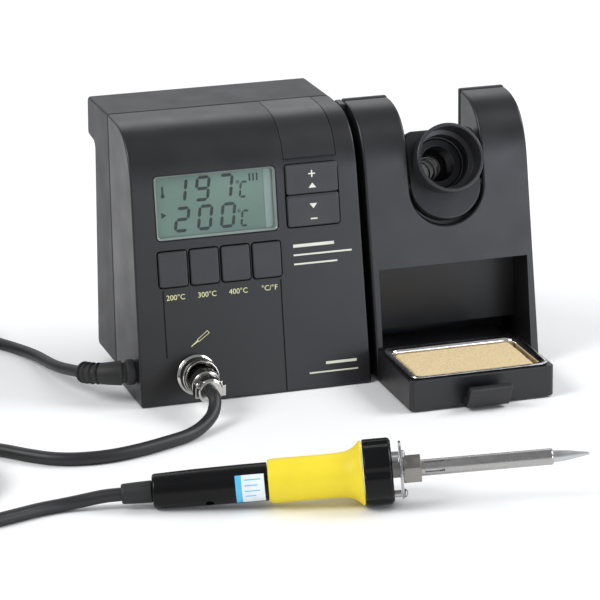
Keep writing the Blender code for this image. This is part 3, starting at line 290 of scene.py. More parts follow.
def lathe(profile, steps=72, closed=True):
    """A profile of (radius, height) turned about Z."""
    bm = bmesh.new()
    line = [bm.verts.new((radius, 0, height)) for radius, height in profile]
    edges = [bm.edges.new(pair) for pair in zip(line, line[1:])]
    if closed:
        edges.append(bm.edges.new((line[-1], line[0])))
    full = 2 * math.pi
    bmesh.ops.spin(bm, geom=line + edges, axis=(0, 0, 1), angle=full, steps=steps, use_merge=True)
    bmesh.ops.remove_doubles(bm, verts=bm.verts, dist=0.0005)
    return bm


def cylinder(radius, low, high, steps=40):
    return lathe([(0, high), (radius, high), (radius, low), (0, low)], steps, closed=False)


def arc(centre, radius, start, end, count):
    angles = [math.radians(start + (end - start) * i / (count - 1)) for i in range(count)]
    return [(centre[0] + radius * math.cos(a), centre[1] + radius * math.sin(a)) for a in angles]


def rounded_rectangle(x0, x1, y0, y1, radius, count=7):
    corners = (
        ((x1 - radius, y0 + radius), -90),
        ((x1 - radius, y1 - radius), 0),
        ((x0 + radius, y1 - radius), 90),
        ((x0 + radius, y0 + radius), 180),
    )
    return [p for centre, start in corners for p in arc(centre, radius, start, start + 90, count)]


def grown(rectangle, by):
    x0, x1, y0, y1 = rectangle
    return (x0 - by, x1 + by, y0 - by, y1 + by)


def softened(points, radius, count=4, closed=False):
    """The outline with each of its corners rounded."""
    points = [Vector(p) for p in points]
    out = []
    for i, here in enumerate(points):
        if not closed and i in (0, len(points) - 1):
            out.append(tuple(here))
            continue
        before, after = points[i - 1] - here, points[(i + 1) % len(points)] - here
        reach = min(radius, before.length * 0.45, after.length * 0.45)
        start, end = here + before.normalized() * reach, here + after.normalized() * reach
        for k in range(count + 1):
            t = k / count
            out.append(tuple(start * (1 - t) ** 2 + here * 2 * t * (1 - t) + end * t * t))
    return out


def turned(name, profile, where, radius=0.3, steps=72, closed=False):
    """A turned piece with its corners rounded. An open profile starts and ends on the axis."""
    return place(lathe(softened(profile, radius, closed=closed), steps, closed), name, where)


def tube(points, radii, sides=20):
    """A round tube along points, with a radius at each."""
    points = [Vector(p) for p in points]
    rings = []
    across = None
    for i, here in enumerate(points):
        along = (points[min(i + 1, len(points) - 1)] - points[max(i - 1, 0)]).normalized()
        if across is None:
            across = along.orthogonal().normalized()
        across = (across - along * across.dot(along)).normalized()
        up = along.cross(across)
        ring = []
        for k in range(sides):
            angle = 2 * math.pi * k / sides
            ring.append(tuple(here + (across * math.cos(angle) + up * math.sin(angle)) * radii[i]))
        rings.append(ring)
    return loft(rings)


def join(bms):
    """Several meshes in one."""
    out = bmesh.new()
    for bm in bms:
        mesh = bpy.data.meshes.new("part")
        bm.to_mesh(mesh)
        bm.free()
        out.from_mesh(mesh)
        bpy.data.meshes.remove(mesh)
    return out


def moved(bm, matrix):
    bm.transform(matrix)
    return bm


def spline_points(route, spacing):
    """Evenly spaced points on one smooth curve through the route's points."""
    route = [Vector(p) for p in route]
    ends = [2 * route[0] - route[1], *route, 2 * route[-1] - route[-2]]
    fine = []
    for a, b, c, d in zip(ends, ends[1:], ends[2:], ends[3:]):
        for i in range(24):
            t = i / 24
            fine.append(
                0.5 * (2 * b + (c - a) * t + (2 * a - 5 * b + 4 * c - d) * t**2)
                + 0.5 * (3 * b - a - 3 * c + d) * t**3
            )
    fine.append(route[-1])
    lengths = [0.0]
    for a, b in zip(fine, fine[1:]):
        lengths.append(lengths[-1] + (b - a).length)
    count = max(2, round(lengths[-1] / spacing))
    out = []
    step = 0
    for i in range(count + 1):
        at = lengths[-1] * i / count
        while step < len(fine) - 2 and lengths[step + 1] < at:
            step += 1
        share = (at - lengths[step]) / max(lengths[step + 1] - lengths[step], 1e-12)
        out.append(fine[step].lerp(fine[step + 1], share))
    return out


def route_length(points):
    return sum((Vector(b) - Vector(a)).length for a, b in zip(points, points[1:]))


# ---------------------------------------------------------------- materials


def new_material(name, colour, roughness, metallic=0.0, **sockets):
    material = bpy.data.materials.new(name)
    material.use_nodes = True
    shader = material.node_tree.nodes["Principled BSDF"]
    shader.inputs["Base Color"].default_value = (*colour, 1)
    shader.inputs["Roughness"].default_value = roughness
    shader.inputs["Metallic"].default_value = metallic
    for socket, value in sockets.items():
        shader.inputs[socket.replace("_", " ")].default_value = value
    return material, shader


def add_node(material, kind, **values):
    node = material.node_tree.nodes.new(kind)
    for key, value in values.items():
        if key in node.inputs:
            node.inputs[key].default_value = value
        else:
            setattr(node, key, value)
    return node


def link(material, source, target):
    material.node_tree.links.new(source, target)


def object_point(material, stretch=(1, 1, 1)):
    """The point on the piece in metres, stretched along its own axes."""
    where = add_node(material, "ShaderNodeTexCoord")
    mapping = add_node(material, "ShaderNodeMapping", Scale=stretch)
    link(material, where.outputs["Object"], mapping.inputs["Vector"])
    return mapping.outputs["Vector"]


def noise_of(material, point, size, detail=3.0):
    """Noise whose features are about as large as size, in metres."""
    texture = add_node(material, "ShaderNodeTexNoise", Scale=1 / size, Detail=detail)
    link(material, point, texture.inputs["Vector"])
    return texture.outputs["Fac"]


def ranged(material, value, low, high):
    node = add_node(material, "ShaderNodeMapRange")
    node.inputs["From Min"].default_value = 0.3
    node.inputs["From Max"].default_value = 0.7
    node.inputs["To Min"].default_value = low
    node.inputs["To Max"].default_value = high
    link(material, value, node.inputs["Value"])
    return node.outputs["Result"]


def blended(material, factor, first, second):
    """A mix of two colours. The mix node's colour sockets are its sixth and seventh, and its output 2."""
    node = add_node(material, "ShaderNodeMix", data_type="RGBA")
    node.inputs[6].default_value = (*first, 1)
    node.inputs[7].default_value = (*second, 1)
    link(material, factor, node.inputs["Factor"])
    return node.outputs[2]


def bumped(material, shader, height, distance, strength=1.0):
    node = add_node(material, "ShaderNodeBump", Distance=distance, Strength=strength)
    link(material, height, node.inputs["Height"])
    link(material, node.outputs["Normal"], shader.inputs["Normal"])


def grain(material, shader, size, height, colour, spread, stretch=(1, 1, 1)):
    """Fine moulded texture, with a slow drift in colour over the piece."""
    point = object_point(material, stretch)
    bumped(material, shader, noise_of(material, point, size), height)
    drift = noise_of(material, point, size * 40, 2)
    darker = [c * (1 - spread) for c in colour]
    lighter = [min(1, c * (1 + spread)) for c in colour]
    tone = blended(material, ranged(material, drift, 0, 1), darker, lighter)
    link(material, tone, shader.inputs["Base Color"])
    return point


def moulded(name, colour, roughness, size=0.00045, height=0.00003, spread=0.12):
    material, shader = new_material(name, colour, roughness)
    point = grain(material, shader, size, height, colour, spread)
    smear = noise_of(material, point, 0.018, 4)
    link(material, ranged(material, smear, roughness - 0.04, roughness + 0.05), shader.inputs["Roughness"])
    return material


def plated(name, colour, roughness, stretch=(1, 1, 1), size=0.0004, height=0.000004):
    """Bright metal with fine handling marks."""
    material, shader = new_material(name, colour, roughness, 1.0)
    point = object_point(material, stretch)
    marks = noise_of(material, point, size, 4)
    bumped(material, shader, marks, height)
    cloud = noise_of(material, object_point(material), 0.006, 3)
    link(material, ranged(material, cloud, roughness * 0.75, roughness * 1.4), shader.inputs["Roughness"])
    tone = ranged(material, marks, 0, 1)
    darker = [c * 0.88 for c in colour]
    link(material, blended(material, tone, darker, colour), shader.inputs["Base Color"])
    return material


def plain_print(name, colour, roughness=0.5):
    """Ink with a little unevenness."""
    material, shader = new_material(name, colour, roughness)
    grain(material, shader, 0.0003, 0.000004, colour, 0.06)
    return material


def porous(name, colour):
    """Cellulose sponge: pores in two sizes, with painted shade darkening them inside."""
    material, shader = new_material(name, colour, 0.95)
    point = object_point(material)
    coarse = add_node(material, "ShaderNodeTexVoronoi", Scale=620)
    fine = add_node(material, "ShaderNodeTexVoronoi", Scale=1700)
    for texture in (coarse, fine):
        link(material, point, texture.inputs["Vector"])
    total = add_node(material, "ShaderNodeMath", operation="ADD")
    link(material, coarse.outputs["Distance"], total.inputs[0])
    link(material, fine.outputs["Distance"], total.inputs[1])
    bumped(material, shader, total.outputs["Value"], -0.0004)
    ramp = add_node(material, "ShaderNodeMapRange")
    ramp.inputs["From Min"].default_value = 0.15
    ramp.inputs["From Max"].default_value = 0.95
    link(material, total.outputs["Value"], ramp.inputs["Value"])
    # Painted shade: the colour falls to 0.72 of the foam's tone towards the pores' centres, standing in for
    # the shade inside them.
    pore_shade = [c * 0.72 for c in colour]
    link(material, blended(material, ramp.outputs["Result"], pore_shade, colour), shader.inputs["Base Color"])
    return material


CASE = moulded("case_plastic", (0.0085, 0.0085, 0.0098), 0.38)
COVER = moulded("cover_plastic", (0.016, 0.016, 0.018), 0.50, size=0.0006, height=0.00005)
KEY = moulded("key_plastic", (0.022, 0.022, 0.025), 0.42, size=0.0003, height=0.00001)
TRIM = moulded("trim_plastic", (0.016, 0.016, 0.018), 0.34, size=0.0005, height=0.00001)
HANDLE = moulded("handle_plastic", (0.003, 0.003, 0.0033), 0.28, size=0.0008, height=0.00001)
HANDLE.node_tree.nodes["Principled BSDF"].inputs["Specular IOR Level"].default_value = 0.2
HOLDER_PLASTIC = moulded("holder_plastic", (0.020, 0.020, 0.023), 0.38)
RUBBER = moulded("black_rubber", (0.010, 0.010, 0.0105), 0.62, size=0.0005, height=0.00003)
JACKET = moulded("cord_jacket", (0.011, 0.011, 0.012), 0.48, size=0.0007, height=0.00002)
GRIP = moulded("yellow_grip", (0.83, 0.66, 0.02), 0.52, size=0.0004, height=0.00002, spread=0.03)
CHROME = plated("nickel_plate", (0.55, 0.54, 0.52), 0.14)
STEEL = plated("bright_steel", (0.48, 0.48, 0.48), 0.24)
TINNED = plated("tinned_steel", (0.80, 0.79, 0.76), 0.16, size=0.003, height=0.00003)
BRUSHED = plated("brushed_barrel", (0.44, 0.43, 0.42), 0.26, stretch=(1, 1, 12), size=0.003)
NUT = plated("nickel_nut", (0.30, 0.285, 0.26), 0.32)
TIP = plated("plated_tip", (0.56, 0.56, 0.56), 0.38)
CERAMIC = moulded("ceramic", (0.84, 0.82, 0.78), 0.55, spread=0.04)
SPONGE_FOAM = porous("sponge_foam", (0.84, 0.66, 0.38))
PALE_INK = plain_print("pale_ink", (0.72, 0.72, 0.62))
YELLOW_INK = plain_print("yellow_ink", (0.74, 0.72, 0.42))
LCD_INK = plain_print("lcd_segment", (0.008, 0.022, 0.018), 0.3)
STICKER_WHITE = plain_print("sticker_white", (0.78, 0.86, 0.90), 0.35)
STICKER_BLUE = plain_print("sticker_blue", (0.10, 0.50, 0.78), 0.35)
BOARD = moulded("board_laminate", (0.02, 0.13, 0.05), 0.4)
COPPER = plated("enamelled_wire", (0.55, 0.24, 0.09), 0.35, stretch=(1, 1, 30), size=0.003)
LAMINATION = plated("core_lamination", (0.20, 0.20, 0.21), 0.45, stretch=(1, 40, 1), size=0.003)


def lcd_glass():
    """Reflective display: grey-green, with a fine pixel mask and a slow change over its face."""
    material, shader = new_material("lcd_glass", (0.27, 0.38, 0.33), 0.28)
    point = object_point(material)
    mask = noise_of(material, point, 0.0003, 1)
    bumped(material, shader, mask, 0.000003)
    drift = noise_of(material, point, 0.05, 1)
    tone = blended(material, ranged(material, drift, 0, 1), (0.12, 0.20, 0.16), (0.19, 0.29, 0.24))
    link(material, tone, shader.inputs["Base Color"])
    return material


def window_plastic():
    material, shader = new_material("window_plastic", (0.16, 0.19, 0.18), 0.06, Alpha=0.05)
    point = object_point(material)
    bumped(material, shader, noise_of(material, point, 0.01, 2), 0.00001)
    return material


LCD = lcd_glass()
PANE = window_plastic()
# The window's sloped edge is clear plastic. Its opaque light grey is a painted highlight that stands in for
# the glint along the chamfer.
PANE_EDGE_PAINTED_GLINT = moulded("window_edge_painted_glint", (0.22, 0.25, 0.24), 0.18, height=0.000004)
LCD_BEZEL = moulded("lcd_bezel", (0.26, 0.35, 0.31), 0.35, height=0.000004)

# ---------------------------------------------------------------- cords

RELIEF_ROUTE = (
    (4.5, 11, 15.3),
    (-0.3, 11, 15.3),
    (-7, 11.6, 15.3),
    (-13.5, 14, 15),
    (-19, 18.5, 14.3),
    (-22.3, 24.5, 13.4),
)
MAINS_ROUTE = (
    (-22.9, 25.8, 13.1),
    (-26.2, 34, 11.9),
    (-28.8, 43.8, 10.3),
    (-30.2, 56, 8.3),
    (-30.9, 68, 6.5),
    (-31.9, 79.5, 5),
    (-34.1, 91, 3.7),
    (-37.8, 101.8, 2.9),
    (-42.9, 111.2, 2.8),
    (-48.6, 121.4, 2.8),
)
IRON_CORD_OUT_ROUTE = (
    (27.7, -25.9, 13.1),
    (27.7, -29.6, 12.4),
    (27, -32.4, 9.4),
    (23.8, -37.4, 6.2),
    (16.8, -44.4, 3.9),
    (8.2, -50.6, 3),
    (-4.5, -56.6, 3),
    (-17, -61.4, 3),
    (-31, -64.6, 3),
    (-45, -64, 3),
    (-56.5, -59.8, 3),
    (-66.5, -51.5, 3),
    (-76, -41.5, 3),
    (-87, -32.5, 3),
    (-100, -28.8, 3),
    (-113, -30, 3),
)
IRON_CORD_IN_ROUTE = (
    (-42.2, -122.6, 6.5),
    (-49, -120.6, 5.8),
    (-57.5, -118.6, 4.2),
    (-67, -118, 3.1),
    (-77, -119.6, 3),
    (-88, -123, 3),
    (-103, -127.5, 3),
    (-120, -129.5, 3),
    (-138, -126, 3),
    (-152, -117, 3),
    (-161, -104, 3.4),
    (-163.6, -90.1, 5.9),
)
MAINS_COIL, MAINS_COIL_RADIUS = (-89.9, 125.2), 30.5
IRON_COIL, IRON_COIL_RADIUS = (-127.6, -69), 33
PLUG = (-126, 75.6, 6.6)
TIE_GAP = 0.5  # the coils' lowest turns lie this far off the bench, on their ties


def coil_points(centre, start, turns, last, per_turn=40):
    """Turns of (radius, height), each easing into the next over its last quarter.

    The final turn stops at the angle given as last.
    """
    points = []
    for number, (radius, height) in enumerate(turns):
        final = number == len(turns) - 1
        span = (last - start) % 360 if final else 360
        after = turns[number] if final else turns[number + 1]
        steps = round(per_turn * span / 360)
        for i in range(steps + (1 if final else 0)):
            angle = math.radians(start + span * i / steps)
            share = max(0.0, (i / steps - 0.75) / 0.25)
            ease = share * share * (3 - 2 * share)
            r = radius + (after[0] - radius) * ease
            z = height + (after[1] - height) * ease
            points.append((centre[0] + r * math.cos(angle), centre[1] + r * math.sin(angle), z))
    return points


def cord_mesh(name, path, diameter):
    return place(tube(path, [diameter / 2] * len(path), 16), name, STATION)


def cord_tie(name, centre, radius, width, height, angle):
    """A thin band round one side of a coil."""
    foot, half = 0.05, 3.5
    outline = rounded_rectangle(-width / 2, width / 2, foot, height, 2.0, 5)
    narrower, lower = 1 - 1.2 / width, (height - 0.85) / (height - foot)
    inner = [(x * narrower, 0.45 + (z - foot) * lower) for x, z in outline]
    bm = bmesh.new()
    rings = []
    for side in (-half, half):
        rings.append([bm.verts.new((x, side, z)) for x, z in outline])
        rings.append([bm.verts.new((x, side, z)) for x, z in inner])
    out_a, in_a, out_b, in_b = rings
    for i in range(len(outline)):
        j = (i + 1) % len(outline)
        bm.faces.new((out_a[i], out_a[j], out_b[j], out_b[i]))
        bm.faces.new((in_a[j], in_a[i], in_b[i], in_b[j]))
        bm.faces.new((in_a[i], in_a[j], out_a[j], out_a[i]))
        bm.faces.new((out_b[i], out_b[j], in_b[j], in_b[i]))
    where = STATION @ shift(*centre, 0) @ turn("Z", angle) @ shift(radius, 0, 0)
    tie = place(bm, name, where)
    bevel(tie, 0.1, 2)
    return dress(tie, RUBBER, "root")


def world(points):
    return [tuple(STATION @ (Vector(p) * MM)) for p in points]


def strain_relief():
    """Flexible sleeve with a boot at the wall, a narrow neck and four ribs near its thin end."""
    points = spline_points(RELIEF_ROUTE, 0.3)
    total = route_length(points)
    radii = []
    run = 0.0
    for i, point in enumerate(points):
        run += (point - points[i - 1]).length if i else 0
        left = total - run
        if point.x > -0.3:
            radius = 5.0
        elif point.x > -4.7:
            radius = 6.2 - 0.5 * abs((point.x + 2.5) / 2.2) ** 4
        elif point.x > -6.5:
            radius = 4.9
        elif left > 11.8:
            radius = 6.0 - 0.8 * min(1, (-6.5 - point.x) / 8.5)
        else:
            radius = 4.3 + 1.0 * max(0, math.cos((left - 1.5) * 2 * math.pi / 2.95)) ** 0.5
        radii.append(radius)
    sleeve = place(tube(points, radii, 32), "relief_sleeve", STATION)
    return dress(sleeve, RUBBER, "root", ["mains_strain_relief"], angle=50)


def plug_profile(share):
    """Half width and half height of the plug's body, from its nose at 0 to its face at 1."""
    swell = share * share * (3 - 2 * share)
    return 3.8 + 13.2 * swell**1.2, 4.6 + 1.9 * min(1, share * 2.2)


def mains_plug():
    """Two-pin plug: a moulded body that swells from the cord to its face."""
    rings = []
    nose, face, count = -27, 12, 28
    for i in range(count + 1):
        share = i / count
        half_width, half_height = plug_profile(share)
        y = nose + (face - nose) * share
        corner = min(half_height, half_width) * 0.75
        outline = rounded_rectangle(-half_width, half_width, -half_height, half_height, corner, 6)
        rings.append([(x, -y, z) for x, z in outline])
    body = place(loft(rings), "plug_body", STATION @ shift(*PLUG))
    bevel(body, 0.8, 3, 60)
    dress(body, JACKET, "root", ["mains_plug"], angle=50)
    pieces = [body]
    profile = [(0, 19), (1.1, 19), (2, 17.6), (2, 0), (0, 0)]
    insulation = [(2.01, 9), (2.12, 9), (2.12, 0), (2.01, 0)]
    for index, side in enumerate((-1, 1)):
        where = STATION @ shift(PLUG[0] + side * 9.5, PLUG[1] - 12.3, PLUG[2]) @ turn("X", 90)
        pin = turned(f"pin_{index + 1}", profile, where, 0.5, 32)
        pieces.append(dress(pin, CHROME, "root", [f"plug_pin_{index + 1}"]))
        sleeve = turned(f"pin_sleeve_{index + 1}", insulation, where, 0.03, 32, True)
        pieces.append(dress(sleeve, JACKET, "root"))
    return pieces


def mains_lead():
    d = MAINS_DIAMETER
    low = d / 2 + TIE_GAP
    rows = (low, low + d, low + d + d * 0.87)
    r = MAINS_COIL_RADIUS
    turns = [(r + d, rows[0]), (r, rows[0]), (r - d, rows[0]), (r - d, rows[1]), (r, rows[1])]
    turns += [(r - d / 2, rows[2]), (r + d, rows[1])]
    coil = coil_points(MAINS_COIL, 24.2, turns, 180)
    inside = [tuple(p) for p in spline_points(RELIEF_ROUTE, 1)[16:-2:4]]
    to_plug = [(-126, 116, 8.7), (-126, 108, 7.6), (-126, 102.2, 6.9), (-126, 97, 6.6)]
    path = spline_points(inside + list(MAINS_ROUTE) + coil + to_plug, d * 0.45)
    lead = cord_mesh("mains_lead", path, d)
    dress(lead, JACKET, "root", ["mains_cord", "mains_coil"], angle=60)
    tie = cord_tie("mains_tie", MAINS_COIL, r, 3 * d + 1.6, 16.7, -70)
    pieces = [strain_relief(), tie, *mains_plug()]


def iron_lead():
    d = IRON_CORD_DIAMETER
    low = d / 2 + TIE_GAP
    r = IRON_COIL_RADIUS
    wide, narrow, high = r + d / 2, r - d / 2, low + d
    turns = [(wide, low), (narrow, low), (narrow, high), (wide, high), (wide, high)]
    coil = coil_points(IRON_COIL, 100, turns, 180)
    down = [(-163.6, -79, 8.6), (-163.6, -86, 6.9)]
    way_in = list(reversed(IRON_CORD_IN_ROUTE))
    start = [(27.7, -18.5, 13.8)]
    end = [(-39, -123.6, 6.8)]
    path = spline_points(start + list(IRON_CORD_OUT_ROUTE) + coil + down + way_in + end, d * 0.45)
    lead = cord_mesh("iron_lead", path, d)
    lead.data.materials.append(JACKET)
    lead.data.shade_smooth()
    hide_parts("iron_cord_out", "iron_cord_coil", "iron_cord_in")
    start, end = world([(28.8, -57.6, 0), (39.6, -79.2, 0)])
    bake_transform(lead)
    tie = cord_tie("iron_tie", IRON_COIL, r, 2 * d + 1.6, 12.8, 20)


# ---------------------------------------------------------------- the case's side outline


def front_profile(inset=0.0, low=0.0, end=SEAM_TOP, count=32):
    """The front face and brow seen from the side, as (y, z) from the foot up, moved inwards by inset."""
    top = (FACE_LEAN * FACE_STRAIGHT, FACE_STRAIGHT)
    rise, run = 19, 18
    above = (top[0] + FACE_LEAN * rise, top[1] + rise)
    before = (BROW_END[0] - run, BROW_END[1] - run * TOP_SLOPE)
    curve = (top, above, before, BROW_END)
    points = [((FACE_LEAN * low, low), (FACE_LEAN, 1))]
    for i in range(count + 1):
        t = i / count
        u = 1 - t
        weights = (u**3, 3 * u * u * t, 3 * u * t * t, t**3)
        spot = [sum(w * p[k] for w, p in zip(weights, curve)) for k in (0, 1)]
        slopes = (u * u, 2 * u * t, t * t)
        along = [sum(w * (b[k] - a[k]) for w, a, b in zip(slopes, curve, curve[1:])) for k in (0, 1)]
        points.append((spot, along))
    points.append(((end, BROW_END[1] + TOP_SLOPE * (end - BROW_END[0])), (1, TOP_SLOPE)))
    outline = []
    for (y, z), (dy, dz) in points:
        size = math.hypot(dy, dz)
        outline.append((y + inset * dz / size, z - inset * dy / size))
    return outline


def seam_depth(z):
    return SEAM_FOOT + (SEAM_TOP - SEAM_FOOT) * z / UNIT_HEIGHT


def side_solid(name, outline, x, left, right):
    """A side outline given width, its two sides leaning by left and right for each unit of height."""
    bm = prism(outline, *x)
    for v in bm.verts:
        v.co.z += v.co.y * (left if v.co.z < sum(x) / 2 else right)
    return place(bm, name, SIDE)


def panel_opening(rectangle, radius=1.6, chamfer=0.35):
    """A cutter for one opening in the panel, with a small chamfer at the face."""
    rings = []
    for grow, out in ((0.3, -6), (0.3, -chamfer), (0.6 + chamfer, 0.3)):
        rings.append(level_ring(rounded_rectangle(*grown(rectangle, grow), radius + grow - 0.3), out))
    return place(loft(rings), "opening", PANEL)


def preset_rectangle(index):
    middle = PRESET_FIRST + index * PRESET_PITCH
    across, up = (side / 2 for side in PRESET_SIZE)
    return (middle - across, middle + across, PRESET_MIDDLE - up, PRESET_MIDDLE + up)


def trim_outline(outer, inner, low, end):
    """A band that follows the brow, from the step keys up to the seam."""
    front = [p for p in front_profile(outer, end=end) if p[1] > low]
    back = [p for p in front_profile(inner, end=end) if p[1] > low]
    slope = FACE_LEAN * low
    return [(slope + outer, low), *front, *reversed(back), (slope + inner, low)]


# ---------------------------------------------------------------- control unit


def front_case():
    outline = front_profile(low=0.35) + [(seam_depth(0.35), 0.35)]
    case = side_solid("front_case", outline, (0, UNIT_WIDTH), SIDE_DRAFT, -SIDE_DRAFT)
    bevel(case, 0.9, 4)
    inner = front_profile(WALL, -5, 80) + [(80, -5)]
    tools = [side_solid("hollow", inner, (WALL, UNIT_WIDTH - WALL), SIDE_DRAFT, -SIDE_DRAFT)]
    tools += [panel_opening(r) for r in (WINDOW, STEP_KEYS, *(preset_rectangle(i) for i in range(4)))]
    recess = trim_outline(-3, 1.5, TRIM_START - 0.3, SEAM_TOP + 5)
    tools.append(place(prism(recess, STEP_KEYS[0] - 0.3, STEP_KEYS[1] + 0.3), "recess", SIDE))
    for x, low in ((13.6, 23), (71.8, -4)):
        tools.append(place(block((x, x + 0.7), (low, 55.3), (-0.7, 1)), "groove", PANEL))
    tools.append(place(cylinder(8.2, -10, 10), "socket_hole", CONNECTOR))
    tools.append(place(cylinder(5.3, -6, 6), "outlet_hole", STATION @ shift(0, *OUTLET) @ turn("Y", 90)))
    tools.append(place(block(*BRIDGE), "notch", STATION))
    carve(case, *tools)
    dress(case, CASE, "root", ["front_shell"])


def trim_band():
    outline = trim_outline(0, 1.2, TRIM_START, SEAM_TOP - 0.5)
    band = place(prism(outline, *STEP_KEYS[:2]), "trim_band", SIDE)
    bevel(band, 0.35, 3)
    dress(band, TRIM, "root", ["trim_strip"])


def rear_case():
    foot, step, top, back = HOUSING_FOOT, HOUSING_STEP, UNIT_HEIGHT, HOUSING_TOP_DEPTH
    outline = [
        (seam_depth(foot) + 0.3, foot),
        *arc((HOUSING_DEPTH - 3, foot + 3), 3, -90, 0, 6),
        *arc((HOUSING_DEPTH + 4, step - 4), 4, 180, 115, 6),
        *arc((back - 3, step + 3.4), 3, -65, 0, 6),
        *arc((back - 3, top - 3), 3, 0, 90, 7),
        (seam_depth(top) + 0.3, top),
    ]
    case = side_solid("rear_case", outline, (0, UNIT_WIDTH), SIDE_DRAFT, -SIDE_DRAFT)
    bevel(case, 1.2, 4)
    inner = [
        (30, 0),
        (HOUSING_DEPTH - WALL, 0),
        (HOUSING_DEPTH - WALL, step - 3),
        (back - WALL, step + 5),
        (back - WALL, top - 4.5),
        (back - 4.5, top - WALL),
        (30, top - WALL),
    ]
    tools = [side_solid("hollow", inner, (WALL, UNIT_WIDTH - WALL), SIDE_DRAFT, -SIDE_DRAFT)]
    for row in range(7):
        z = 58 + row * 6
        slot = rounded_rectangle(32, 83, z, z + 2.4, 1.1, 5)
        tools.append(place(prism(slot, -90, -75), "vent", STATION @ UPRIGHT))
    opening = block(*(grown_span(s, 0.3) for s in (SWITCH_X, (70, 95), SWITCH_Z)))
    tools.append(place(opening, "switch_opening", STATION))
    carve(case, *tools)
    dress(case, COVER, "root", ["rear_housing"])
    for index, (x, z) in enumerate(((9, 16), (106, 16), (9, 100), (106, 100))):
        screw(f"case_screw_{index + 1}", STATION @ shift(x, HOUSING_DEPTH, z) @ turn("X", -90), 3.0)


def grown_span(span, by):
    return (span[0] - by, span[1] + by)


def screw(name, where, radius, body="root", material=None):
    """Pan-head screw with a cross recess."""
    head = turned(name, [(0, 1.5), (radius * 0.5, 1.45), (radius, 0.7), (radius, 0), (0, 0)], where, 0.4, 36)
    depth, width, reach = 0.7, (-0.35, 0.35), (-radius * 0.62, radius * 0.62)
    slots = [block(reach, width, (depth, 3)), block(width, reach, (depth + 0.01, 3.1))]
    carve(head, *(place(slot, "slot", where) for slot in slots))
    return dress(head, material or STEEL, body)


def power_switch():
    rear = HOUSING_DEPTH
    frame_piece = place(block(SWITCH_X, (rear - 14, rear + 0.4), SWITCH_Z), "rocker_frame", STATION)
    rim_block = block(grown_span(SWITCH_X, 1), (rear + 0.3, rear + 2), grown_span(SWITCH_Z, 1))
    rim = place(rim_block, "rim", STATION)
    bevel(rim, 0.5, 3)
    fuse(frame_piece, rim)
    carve(frame_piece, place(block((22.6, 32.4), (rear - 8, rear + 5), (26, 41.2)), "well", STATION))
    dress(frame_piece, KEY, "root", ["switch_frame"])
    outline = [(-6.6, 3.2), (-6.9, -0.6), (-4.2, -4), (4.2, -4), (6.9, -0.6), (6.6, 3.2), (0, 1.9)]
    where = STATION @ shift(27.5, rear - 1.6, 33.6) @ turn("X", -7)
    turned_frame = Matrix(((0, 0, 1), (0, 1, 0), (-1, 0, 0))).to_4x4()
    rocker = place(prism(softened(outline, 0.8, 4, True), -4.5, 4.5), "rocker", where @ turned_frame)
    bevel(rocker, 0.3, 2)
    dress(rocker, KEY, "rocker", ["power_rocker"])
    marks = [block((-0.35, 0.35), (-1.4, 1.4), (0, 0.06))]
    bar = place(join(marks), "rocker_on_mark", where @ shift(0, 2.58, 3.6) @ turn("X", -79))
    dress(bar, PALE_INK, "rocker")
    ring = lathe([(1.0, 0.06), (1.4, 0.06), (1.4, 0), (1.0, 0)], 32)
    dress(place(ring, "rocker_off_mark", where @ shift(0, 2.58, -3.6) @ turn("X", -101)), PALE_INK, "rocker")


def key_cap(name, rectangle, body, replaces, top_chamfer=0.35):
    """A cap whose edges roll over. A wide chamfer along its top edge makes a ledge for the finger."""
    x0, x1, y0, y1 = rectangle
    levels = ((0, -6, 0), (0, 0.55, 0), (0.10, 0.80, 0.1), (0.30, 0.95, 0.7), (0.55, KEY_PROUD, 1.0))
    rings = []
    for inset, out, ledge in levels:
        outline = (x0 + inset, x1 - inset, y0 + inset, y1 - max(inset, top_chamfer * ledge))
        rings.append(level_ring(rounded_rectangle(*outline, 1.3 - inset * 0.6), out))
    cap = place(loft(rings), name, PANEL)
    return dress(cap, KEY, body, [replaces], angle=50)


def keys():
    for index, node in enumerate(("key_200", "key_300", "key_400", "key_unit")):
        key_cap(f"cap_{node[4:]}", preset_rectangle(index), node, node)
    x0, x1, low, high = STEP_KEYS
    key_cap("cap_up", (x0, x1, STEP_SPLIT + 0.15, high), "key_up", "key_up")
    key_cap("cap_down", (x0, x1, low, STEP_SPLIT - 0.15), "key_down", "key_down", 2.0)
    middle = (x0 + x1) / 2
    plus = [block((-1.7, 1.7), (-0.32, 0.32), (0, 0.05)), block((-0.32, 0.32), (-1.7, 1.7), (0.001, 0.051))]
    dress(place(join(plus), "plus_mark", PANEL @ shift(middle, 104.6, KEY_PROUD)), PALE_INK, "key_up")
    minus = block((-1.7, 1.7), (-0.32, 0.32), (0, 0.05))
    dress(place(minus, "minus_mark", PANEL @ shift(middle, 83.0, KEY_PROUD)), PALE_INK, "key_down")
    for name, s, tip, body in (("up", 98.9, 1, "key_up"), ("down", 89.2, -1, "key_down")):
        arrow = prism([(-1.9, -1.1 * tip), (1.9, -1.1 * tip), (0, 1.3 * tip)][::tip], 0, 0.05)
        dress(place(arrow, f"{name}_arrow", PANEL @ shift(middle, s, KEY_PROUD)), PALE_INK, body)


def lettering(name, text, size, where, material, body):
    """Raised ink in plain type, centred where it is placed."""
    curve = bpy.data.curves.new(name, "FONT")
    curve.body = text
    curve.size = size * MM
    curve.align_x = "CENTER"
    curve.align_y = "CENTER"
    curve.extrude = 0.02 * MM
    curve.resolution_u = 4
    guide = bpy.data.objects.new(name, curve)
    bpy.context.scene.collection.objects.link(guide)
    bpy.context.view_layer.update()
    mesh = bpy.data.meshes.new_from_object(guide.evaluated_get(bpy.context.evaluated_depsgraph_get()))
    bpy.data.objects.remove(guide)
    piece = bpy.data.objects.new(name, mesh)
    bpy.context.scene.collection.objects.link(piece)
    piece.matrix_world = where
    return dress(piece, material, body)


